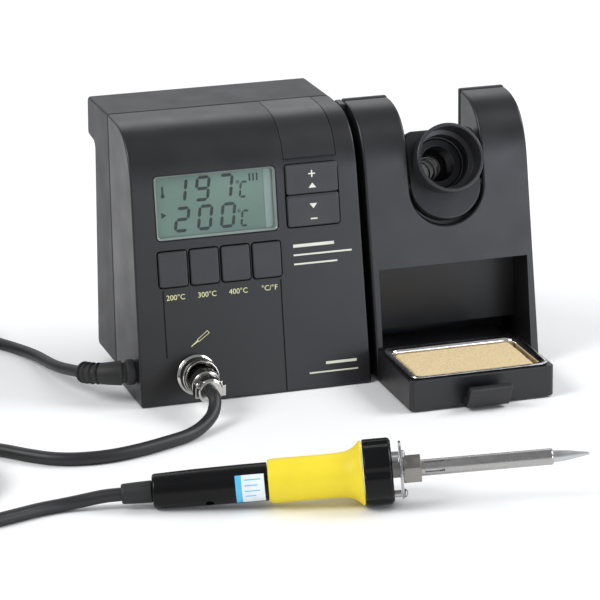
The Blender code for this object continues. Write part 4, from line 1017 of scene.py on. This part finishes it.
def labels():
    """Marks under the preset keys, plain rules where the maker's words would stand, and an iron symbol."""
    for index, text in enumerate(("200°C", "300°C", "400°C", "°C/°F")):
        x = PRESET_FIRST + index * PRESET_PITCH + 0.6
        lettering(f"label_{index + 1}", text, 3.6, PANEL @ shift(x, 51.6, 0.02), YELLOW_INK, "root")
    rules = ((79.3, 99.8, 70.4, 1.5), (79.3, 108.5, 66.0, 0.8), (79.3, 101.0, 61.6, 0.8))
    rules += ((92.5, 108.0, 12.4, 1.3), (84.0, 108.5, 8.2, 0.7))
    bms = [block((x0, x1), (s - height / 2, s + height / 2), (0, 0.05)) for x0, x1, s, height in rules]
    dress(place(join(bms), "plain_rules", PANEL @ shift(0, 0, 0.01)), PALE_INK, "root")
    stroke = ((-1.2, 0.72), (5.4, 0.85), (5.4, 0.6), (-1.2, 0.47))
    sides = [[(x, side * y) for x, y in stroke] for side in (-1, 1)]
    ends = [block((-1.3, -1.0), (-0.72, 0.72), (0, 0.05)), block((5.2, 5.5), (-0.85, 0.85), (0, 0.05))]
    blade = [(-5.6, 0), (-5.2, -0.18), (-1.2, -0.4), (-1.2, 0.4), (-5.2, 0.18)]
    bms = [prism(outline, 0, 0.05) for outline in (*sides, blade)] + ends
    where = PANEL @ shift(30.6, 30.6, 0.01) @ turn("Z", 35.7)
    dress(place(join(bms), "iron_symbol", where), YELLOW_INK, "root")


SEGMENTS = {
    "0": "abcdef",
    "1": "bc",
    "2": "abdeg",
    "7": "abc",
    "9": "abcdfg",
    "C": "adef",
}


def digit(character, x, y, width, height, thick, slant=0.14):
    """One seven-segment figure, centred at x, y."""
    w, h, t, gap = width / 2, height / 2, thick / 2, 0.18
    left, right, low, high = -w + gap, w - gap, gap, h - gap
    across = [(left, 0), (left + t, t), (right - t, t), (right, 0), (right - t, -t), (left + t, -t)]
    up = [(0, low), (t, low + t), (t, high - t), (0, high), (-t, high - t), (-t, low + t)]
    shapes = {
        "a": [(px, py + h) for px, py in across],
        "g": across,
        "d": [(px, py - h) for px, py in across],
        "b": [(px + w, py) for px, py in up],
        "f": [(px - w, py) for px, py in up],
        "c": [(px + w, py - h) for px, py in up],
        "e": [(px - w, py - h) for px, py in up],
    }
    bms = []
    for segment in SEGMENTS[character]:
        outline = [(x + px + slant * py, y + py) for px, py in shapes[segment]]
        bms.append(prism(outline, 0, 0.04))
    return bms


def display():
    """Sloped edge painted light grey as a painted highlight for the glint on the clear chamfer, clear pane,
    and the display behind it with its figures.
    """
    x0, x1, y0, y1 = WINDOW
    rings = []
    for inset, out in ((0.02, -0.05), (0.95, -1.15), (0.95, -2.6), (0.02, -2.6)):
        rings.append(level_ring(rounded_rectangle(*grown(WINDOW, -inset), 1.9 - inset * 0.6), out))
    rings.append(rings[0])
    edge = loft(rings, caps=False)
    bmesh.ops.remove_doubles(edge, verts=edge.verts, dist=0.001)
    # Painted highlight: the sloped edge's light grey stands in for the glint on the clear chamfer.
    dress(place(edge, "window_edge_painted_glint", PANEL), PANE_EDGE_PAINTED_GLINT, "root", angle=60)
    pane = place(prism(rounded_rectangle(*grown(WINDOW, -0.9), 1.3), -2.2, -1.2), "window_pane", PANEL)
    dress(pane, PANE, "root", ["display_window"])
    glass = place(block((x0 - 1, x1 + 1), (y0 - 1, y1 + 1), (-6.2, -2.7)), "lcd_panel", PANEL)
    dress(bevel(glass, 0.2, 2), LCD, "root", ["display_module"])
    strip = place(block((67.2, x1 - 1), (y0 + 1, y1 - 1), (-2.68, -2.5)), "lcd_side_strip", PANEL)
    dress(bevel(strip, 0.08, 2), LCD_BEZEL, "root")
    bms = []
    for row, figures in ((101.9, "197"), (88.1, "200")):
        for index, figure in enumerate(figures):
            bms += digit(figure, 25.8 + index * 11.3 + (0.5 if row < 90 else 0), row, 5.8, 10.6, 1.55)
        bms += digit("C", 57.2, row - 2.2, 3.2, 7.0, 1.05)
        ring = lathe([(0.35, 0.04), (0.75, 0.04), (0.75, 0), (0.35, 0)], 20)
        bms.append(moved(ring, Matrix.Translation((54.4, row + 1.5, 0))))
    bms.append(block((17.0, 18.0), (100.6, 104.4), (0, 0.04)))
    bms.append(moved(cylinder(1.0, 0, 0.04, 20), Matrix.Translation((17.5, 99.9, 0))))
    bms.append(prism([(16.2, 89.2), (18.8, 90.7), (16.2, 92.2)], 0, 0.04))
    for x in (60.0, 61.8, 63.6):
        bms.append(block((x, x + 0.9), (103.4, 107.0), (0, 0.04)))
    dress(place(join(bms), "lcd_figures", PANEL @ shift(0, 0, -2.69)), LCD_INK, "root")


def feet():
    for corner in ("front_left", "front_right", "rear_left", "rear_right", "stand_left", "stand_right"):
        low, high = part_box(f"foot_{corner}")
        middle = (low + high) / 2
        profile = [(0, 3.7), (6.5, 3.7), (6.0, 0.3), (5.2, 0), (2.6, 0), (2.2, 0.9), (0, 0.9)]
        foot = turned(f"rubber_foot_{corner}", profile, Matrix.Translation((middle.x, middle.y, 0)), 0.3, 48)
        dress(foot, RUBBER, "root", [f"foot_{corner}"])


# ---------------------------------------------------------------- connector


def connector():
    """Flanged socket, knurled ring, a plug that droops a little, and a saddle over the cord."""
    socket = [(0, 5.2), (7.3, 5.2), (7.3, 3.2), (8.6, 2.9), (9.9, 1.9), (9.9, 0.3), (7.9, 0.3)]
    socket += [(7.9, -7), (0, -7)]
    dress(turned("socket_flange", socket, CONNECTOR, 0.35), CHROME, "root", ["panel_socket"])
    profile = [(7.8, 3.4), (8.7, 3.4), (9.1, 4.2), (9.1, 9.2), (8.6, 10), (8.3, 11.5), (7.8, 11.5)]
    ring = lathe(softened(profile, 0.3, 4, True), 144)
    for v in ring.verts:
        radius = math.hypot(v.co.x, v.co.y)
        if radius > 9.0 and 4.4 < v.co.z < 9.1:
            turn_angle = math.atan2(v.co.y, v.co.x)
            v.co.xy *= (radius - 0.22 * (1 + math.cos(48 * turn_angle)) / 2) / radius
    knurled = place(ring, "knurled_ring", CONNECTOR)
    dress(knurled, CHROME, "coupling_ring", ["coupling_ring"], angle=60)
    shell = [(0, 10.7), (6.9, 10.7), (7.2, 10.2), (7.2, 5.9), (6.6, 5.5), (6.6, -0.7), (0, -0.7)]
    dress(turned("plug_barrel", shell, PLUG_TAIL, 0.3), CHROME, "root", ["plug_shell"])
    saddle = [(0, 18.2), (5.3, 18.2), (6.2, 17.3), (6.2, 11.7), (5.5, 11), (0, 11)]
    body = turned("clamp_saddle", saddle, PLUG_TAIL, 0.35)
    ears = place(block((-7.4, 7.4), (-3, 2.6), (12, 17.6)), "ears", PLUG_TAIL)
    bevel(ears, 0.4, 3)
    fuse(body, ears)
    seats = (place(block((x, x + 5), (2.6, 9), (11.8, 17.8)), "seat", PLUG_TAIL) for x in (-8.6, 3.6))
    carve(body, place(cylinder(2.9, 10, 19), "cord_hole", PLUG_TAIL), *seats)
    dress(body, CHROME, "root", ["cord_clamp"])
    for index, side in enumerate((-1, 1)):
        where = PLUG_TAIL @ shift(side * 5.5, 2.5, 14.8) @ turn("X", -90)
        screw(f"clamp_screw_{index + 1}", where, 1.15, material=CHROME)


# ---------------------------------------------------------------- stand


def u_outline(radius, top, count=33):
    centre = (SLOT_CENTRE, SLOT_FLOOR + SLOT_RADIUS)
    return [(centre[0] + radius, top), (centre[0] - radius, top), *arc(centre, radius, 180, 360, count)]


def slot_tool(radius, depth):
    return place(prism(u_outline(radius, 150), -depth[1], -depth[0]), "slot", STATION @ UPRIGHT)


def stand_case():
    x = (STAND_LEFT, STAND_LEFT + STAND_WIDTH)
    outline = front_profile(0, 1, STAND_DEPTH) + [(STAND_DEPTH, 1)]
    case = side_solid("stand_case", outline, x, -SIDE_DRAFT, -SIDE_DRAFT)
    carve(case, slot_tool(SLOT_RADIUS, (-20, 70)))
    bevel(case, 1.2, 4)
    inner = front_profile(WALL, -5, 70) + [(70, -5)]
    hollow = side_solid("hollow", inner, (x[0] + WALL, x[1] - WALL), -SIDE_DRAFT, -SIDE_DRAFT)
    (cx0, cx1), (_, cy1), (_, cz1) = CAVITY
    walls = place(block((cx0 - 9, cx1 + 9), (-15, cy1 + WALL), (17, cz1 + WALL)), "cavity_walls", STATION)
    carve(hollow, slot_tool(SLOT_RADIUS + WALL, (-30, 80)), walls)
    tools = [hollow, place(block(*CAVITY), "cavity", STATION)]
    tools.append(place(block((cx0, cx1), (-6, 33), (-6, 17.6)), "tunnel", STATION))
    tools.append(place(block(*BRIDGE), "notch", STATION))
    for side in (-1, 1):
        where = STATION @ shift(SLOT_CENTRE + side * SLOT_RADIUS, *HOLDER_PIVOT) @ turn("Y", 90)
        tools.append(place(cylinder(2.3, -6, 6), "pin_hole", where))
    carve(case, *tools)
    dress(case, CASE, "root", ["stand_body"])


def stand_back():
    x = (STAND_LEFT, STAND_LEFT + STAND_WIDTH)
    y0, y1 = STAND_DEPTH + 0.3, STAND_DEPTH + STAND_COVER
    outline = [(y0, 1), (y1, 1), (y1, UNIT_HEIGHT), (y0, UNIT_HEIGHT)]
    cover = side_solid("stand_back", outline, x, -SIDE_DRAFT, -SIDE_DRAFT)
    carve(cover, slot_tool(SLOT_RADIUS, (-20, 70)))
    bevel(cover, 1, 3)
    dress(cover, COVER, "root", ["stand_cover"])
    for index, (px, pz) in enumerate(((126, 12), (193, 12), (127, 118), (190, 118))):
        screw(f"cover_screw_{index + 1}", STATION @ shift(px, y1, pz) @ turn("X", -90), 2.6)


def joining_web():
    """Wall between the unit and the stand, set back from their fronts."""
    outline = [(41, 7.5), (49.3, 7.5), (49.3, 129.5), (44, 129.4), (41, 129.1)]
    span = (UNIT_WIDTH + 0.3, STAND_LEFT - 0.3)
    piece = side_solid("joining_wall", outline, span, -SIDE_DRAFT, -SIDE_DRAFT)
    bevel(piece, 0.4, 3)
    dress(piece, CASE, "root", ["joining_web"])


def rounded_u(radius, top):
    corner = 4
    right = arc((radius - corner, top - corner), corner, 0, 90, 8)
    left = arc((corner - radius, top - corner), corner, 90, 180, 8)
    return [*right, *left, *arc((0, 0), radius, 180, 360, 33)]


def holder():
    """Cup, plate and barrel in one moulding, a sleeve with a long tail, and the spring in the tail."""
    piece = place(prism(rounded_u(17.9, 26), -4.5, 4.5), "holder_moulding", HOLDER @ UPRIGHT)
    bevel(piece, 0.8, 3)
    cup = [(0, 16.5), (CUP_RADIUS - 0.5, 16.5), (CUP_RADIUS, 16), (CUP_RADIUS, 14.4), (CUP_RADIUS - 1, 13.8)]
    cup += [(CUP_RADIUS - 1, 0), (14.2, 0), (14, -23.5), (0, -23.5)]
    fuse(piece, turned("cup", cup, HOLDER_BORE, 0.4))
    bore = [(0, 20), (15.3, 20), (15.3, 4.5), (13, 4), (13, -3.5), (12.3, -3.8), (12.3, -21.5), (7.8, -21.5)]
    bore += [(7.8, -30), (0, -30)]
    carve(piece, turned("bore", bore, HOLDER_BORE, 0.15))
    for side in (-1, 1):
        where = HOLDER @ shift(side * 17.2, 0.02, 0) @ turn("Y", 90)
        carve(piece, place(cylinder(2.15, -4.8, 4.8), "pin_hole", where))
    dress(piece, HOLDER_PLASTIC, "holder", ["iron_holder"])
    sleeve = [(8.6, -4.2), (12, -4.2), (12, -21.2), (7.4, -21.2), (7.4, -50), (6.7, -50)]
    sleeve += [(6.7, -20.4), (8.6, -19)]
    tail = turned("holder_tail", sleeve, HOLDER_BORE, 0.25, closed=True)
    dress(tail, HOLDER_PLASTIC, "holder", ["holder_sleeve"])
    points = []
    coils, per_turn = 4, 40
    for i in range(coils * per_turn + 1):
        angle = 2 * math.pi * i / per_turn
        depth = 20 + 29 * i / (coils * per_turn)
        points.append((5.7 * math.cos(angle), 5.7 * math.sin(angle), -depth))
    spring = place(tube(points, [0.55] * len(points), 12), "guard_spring", HOLDER_BORE)
    dress(spring, CHROME, "holder", ["holder_spring"], angle=60)


# ---------------------------------------------------------------- tray, dish and sponge


def tray():
    (x0, x1), (y0, y1), (z0, z1) = TRAY
    corner = 2.5
    outline = [
        *arc((x0 + corner, y0 + corner), corner, 180, 270, 9),
        *arc((x1 - corner, y0 + corner), corner, 270, 360, 9),
        (x1, y1),
        (x0, y1),
    ]
    piece = place(prism(outline, z0, z1), "sponge_tray", STATION)
    bevel(piece, 0.7, 3)
    wall = 2.4
    inner = rounded_rectangle(x0 + wall, x1 - wall, y0 + wall, y1 - wall, 1.8, 6)
    carve(piece, place(prism(inner, z0 + 2, z0 + 22), "well", STATION))
    tab = [
        (y0 + 1, z0 + 1.5),
        (y0 - 6.5, z0 + 0.6),
        (y0 - 11.2, 11),
        (y0 - 10.9, 12.4),
        (y0 - 9.2, 13.2),
        (y0 - 7.4, 12.6),
        (y0 - 5, 6),
        (y0 + 1, 5.4),
    ]
    lip = place(prism(softened(tab, 1.6, 5, True), 143.8, 165), "tab", SIDE)
    bevel(lip, 0.5, 3)
    tail = place(block((x0 + 5, x1 - 2), (y1 - 1.5, 30), (9, 12.4)), "tail", STATION)
    fuse(piece, lip, tail)
    dress(piece, CASE, "tray", ["tray"])


def dish():
    """Pressed dish with a rolled rim."""
    steps = [(0.45, -0.9), (0.0, -0.45), (0.15, -0.05), (0.6, 0), (1.1, -0.1), (2.6, -0.35)]
    steps += [(3.3, -1.0), (3.5, -2.0), (3.8, -10.0), (4.6, -11.0), (6.0, -11.3)]
    sheet = bmesh.new()
    rings = []
    for inset, down in steps:
        outline = rounded_rectangle(*grown(DISH_RIM, -inset), 5 - inset * 0.25, 8)
        rings.append([sheet.verts.new(p) for p in level_ring(outline, DISH_TOP + down)])
    for low, high in zip(rings, rings[1:]):
        for i in range(len(low)):
            j = (i + 1) % len(low)
            sheet.faces.new((low[i], low[j], high[j], high[i]))
    sheet.faces.new(rings[-1])
    piece = place(sheet, "pressed_dish", STATION)
    modifier = piece.modifiers.new("sheet", "SOLIDIFY")
    modifier.thickness = 0.4 * MM
    modifier.offset = -1
    apply_modifiers(piece)
    dress(piece, TINNED, "dish", ["sponge_dish"], angle=50)


def sponge():
    """A block whose faces are pitted with open pores and whose edges are soft."""
    (x0, x1), (y0, y1), (z0, z1) = SPONGE
    outline = rounded_rectangle(x0, x1, y0, y1, 2.2, 5)
    piece = place(prism(outline, z0, z1), "sponge_block", STATION)
    bevel(piece, 0.9, 3)
    modifier = piece.modifiers.new("even", "REMESH")
    modifier.mode = "VOXEL"
    modifier.voxel_size = 0.55 * MM
    apply_modifiers(piece)
    normals = [v.normal.copy() for v in piece.data.vertices]
    for v, normal in zip(piece.data.vertices, normals):
        spot = v.co / MM
        cell = noise.voronoi(spot / 2.6)[0][0]
        swell = noise.noise(spot / 9) * 0.35
        pit = max(0.0, 0.34 - cell) * 1.5
        v.co += normal * MM * (swell * 0.5 - pit - 0.1)
    dress(piece, SPONGE_FOAM, "sponge", ["sponge"], angle=180)


# ---------------------------------------------------------------- hand iron

FACING = 252.5  # the side of the iron that faces the front, round its own axis


def handle():
    rear, front = HANDLE_REAR, HANDLE_FRONT
    profile = [(0, front), (8.4, front), (8.4, -60), (8.15, -80), (7.6, rear + 0.8), (7.0, rear)]
    profile += [(5.3, rear), (5.3, rear + 4), (0, rear + 4)]
    body = turned("handle_tube", profile, IRON, 0.5, 96)
    hole = IRON @ shift(0, 0, -73.9) @ turn("Z", FACING + 62) @ turn("Y", 90)
    carve(body, place(cylinder(1.9, 6.6, 12, 32), "screw_hole", hole))
    dress(body, HANDLE, "iron", ["handle_rear"])
    screw("handle_screw", hole @ shift(0, 0, 5.6), 1.6, "iron")
    end = SLEEVE_END
    sleeve = [(0, rear - 0.3), (4.9, rear - 0.3), (4.75, rear - 6), (4.5, end + 1), (4.2, end)]
    sleeve += [(3.2, end), (3.2, end + 3), (0, end + 3)]
    dress(turned("cord_boot", sleeve, IRON, 0.4, 48), RUBBER, "iron", ["cord_sleeve"])


def band_patch(low, high, start, end, radius, thickness=0.06, count=28):
    """A thin curved patch on the handle, from low to high along it and from start to end round it."""
    outer = radius + thickness
    section = ((radius, low), (outer, low), (outer, high), (radius, high))
    rings = []
    for i in range(count + 1):
        angle = math.radians(start + (end - start) * i / count)
        rings.append([(r * math.cos(angle), r * math.sin(angle), height) for r, height in section])
    return loft(rings)


def sticker():
    """A plain two-tone label with blank rules."""
    start, end, radius = FACING - 28, FACING + 70, 8.41
    dress(place(band_patch(-62.1, -59.4, start, end, radius), "sticker_stripe", IRON), STICKER_BLUE, "iron")
    dress(place(band_patch(-59.4, -49.5, start, end, radius), "sticker_field", IRON), STICKER_WHITE, "iron")
    rules = []
    for index, reach in enumerate((-51.0, -52.5, -51.6, -53.4)):
        angle = FACING - 14 + 17 * index
        rules.append(band_patch(-58.2, reach, angle, angle + 3.2, radius + 0.065, 0.015, 4))
    dress(place(join(rules), "sticker_rules", IRON), STICKER_BLUE, "iron")


def grip():
    front = HANDLE_FRONT
    profile = [(0, -6.5), (13.9, -6.5), (14.25, -7.0), (14.0, -7.7), (12.9, -8.6), (11.4, -10.4)]
    profile += [(10.4, -12.6), (9.95, -15), (9.7, -20), (9.65, -32), (9.75, -44), (9.6, -46.5)]
    profile += [(9.3, front + 0.3), (0, front + 0.3)]
    dress(turned("soft_grip", profile, IRON, 0.9, 96), GRIP, "iron", ["grip"])


def flange():
    """Heat shield: a disc with finger lobes and a stepped front."""
    lobes, depth = 6, 0.9
    rings = []
    levels = ((-FLANGE_HALF, 0.6), (-FLANGE_HALF + 0.3, 0.1), (-FLANGE_HALF + 0.8, 0), (FLANGE_HALF - 1.6, 0))
    levels += ((FLANGE_HALF - 0.7, 0.35), (FLANGE_HALF - 0.4, 0.9), (FLANGE_HALF, 1.3))
    for z, inset in levels:
        ring = []
        for i in range(144):
            angle = 2 * math.pi * i / 144
            wave = max(0.0, math.cos(lobes * (angle - math.radians(12))) - 0.55) / 0.45
            radius = FLANGE_RADIUS - inset - depth * wave**1.5
            ring.append((radius * math.cos(angle), radius * math.sin(angle), z))
        rings.append(ring)
    body = place(loft(rings), "heat_shield", IRON)
    carve(body, place(lathe([(6.5, 8), (12.4, 8), (12.4, 5.0), (6.5, 5.0)], 72), "recess", IRON))
    dress(body, HANDLE, "iron", ["flange"], angle=50)


def heater_mount():
    """Thin plate on three posts, with the screws' heads in front of it, and the ceramic core."""
    plate = [(4.6, 10.6), (12.6, 10.6), (12.6, 9.6), (4.6, 9.6)]
    dress(turned("mount_plate", plate, IRON, 0.15, closed=True), STEEL, "iron", ["heater_plate"])
    for index in range(3):
        angle = math.radians(90 + 120 * index)
        where = IRON @ shift(10.4 * math.cos(angle), 10.4 * math.sin(angle), 0)
        post = turned(f"post_{index + 1}", [(0, 9.3), (1.5, 9.3), (1.5, 5.0), (0, 5.0)], where, 0.2, 28)
        dress(post, STEEL, "iron", [f"standoff_{index + 1}"])
        screw(f"mount_screw_{index + 1}", where @ shift(0, 0, 10.65), 1.9, "iron")
    core = [(0, 72), (2.2, 72), (2.4, 71.6), (2.4, 11), (3.4, 10.8), (3.4, 6.0), (0, 6.0)]
    dress(turned("heater_core", core, IRON, 0.2, 36), CERAMIC, "iron", ["heater"])


def barrel_nut():
    """Hexagon nut, chamfered by turning."""
    hexagon = place(prism(arc((0, 0), 6.9, 0, 300, 6), 10.9, 18.7), "hex_nut", IRON @ turn("Z", 8))
    bevel(hexagon, 0.18, 2)
    corner = [(0, 18.9), (5.9, 18.9), (7.2, 17.9), (7.2, 11.9), (6.0, 10.8), (0, 10.8)]
    cone = place(lathe(corner, 72, closed=False), "cone", IRON)
    combine(hexagon, [cone], "INTERSECT")
    carve(hexagon, place(cylinder(4.2, 5, 25, 60), "bore", IRON))
    dress(hexagon, NUT, "barrel_nut", ["barrel_nut"])


def barrel():
    """Tube with narrow slots near the nut and a rolled end."""
    low = 11.2
    profile = [(2.95, 76.2), (3.3, 76.2), (3.6, 75.6), (3.6, low), (3.1, low), (3.1, 75.6)]
    body = turned("barrel_tube", profile, IRON, 0.15, 64, closed=True)
    lengthwise = Matrix(((-1, 0, 0), (0, -1, 0), (0, 0, 1))).to_4x4()
    slots, tools = 5, []
    for index in range(slots):
        slot = prism(rounded_rectangle(20.3, 29.0, -0.6, 0.6, 0.55, 6), 2, 6)
        around = turn("Z", FACING - 47 + 360 / slots * index)
        tools.append(place(slot, "slot", IRON @ around @ turn("Y", 90) @ lengthwise))
    carve(body, *tools)
    dress(body, BRUSHED, "iron", ["barrel"])


def tip():
    end = TIP_END
    profile = [(0, end), (0.35, end - 0.05), (0.6, end - 0.7), (1.25, end - 4.5), (2.2, end - 10)]
    profile += [(2.6, end - 14), (2.6, 72.4), (0, 72.4)]
    dress(turned("iron_tip", profile, IRON, 0.6, 56), TIP, "iron", ["tip"])


# ---------------------------------------------------------------- CAD pieces that keep their shape


def finish_cad_nodes():
    finishes = {
        "control_board": BOARD,
        "transformer_core": LAMINATION,
        "transformer_winding": COPPER,
        "base_plate": COVER,
        "holder_pin_left": STEEL,
        "holder_pin_right": STEEL,
    }
    for name, material in finishes.items():
        for slot_entry in frame["nodes"][name].material_slots:
            slot_entry.material = material


set_camera()
mains_lead()
iron_lead()
set_floor()
set_light()
front_case()
trim_band()
rear_case()
power_switch()
keys()
labels()
display()
feet()
connector()
stand_case()
stand_back()
joining_web()
holder()
tray()
dish()
sponge()
handle()
sticker()
grip()
flange()
heater_mount()
barrel_nut()
barrel()
tip()
finish_cad_nodes()
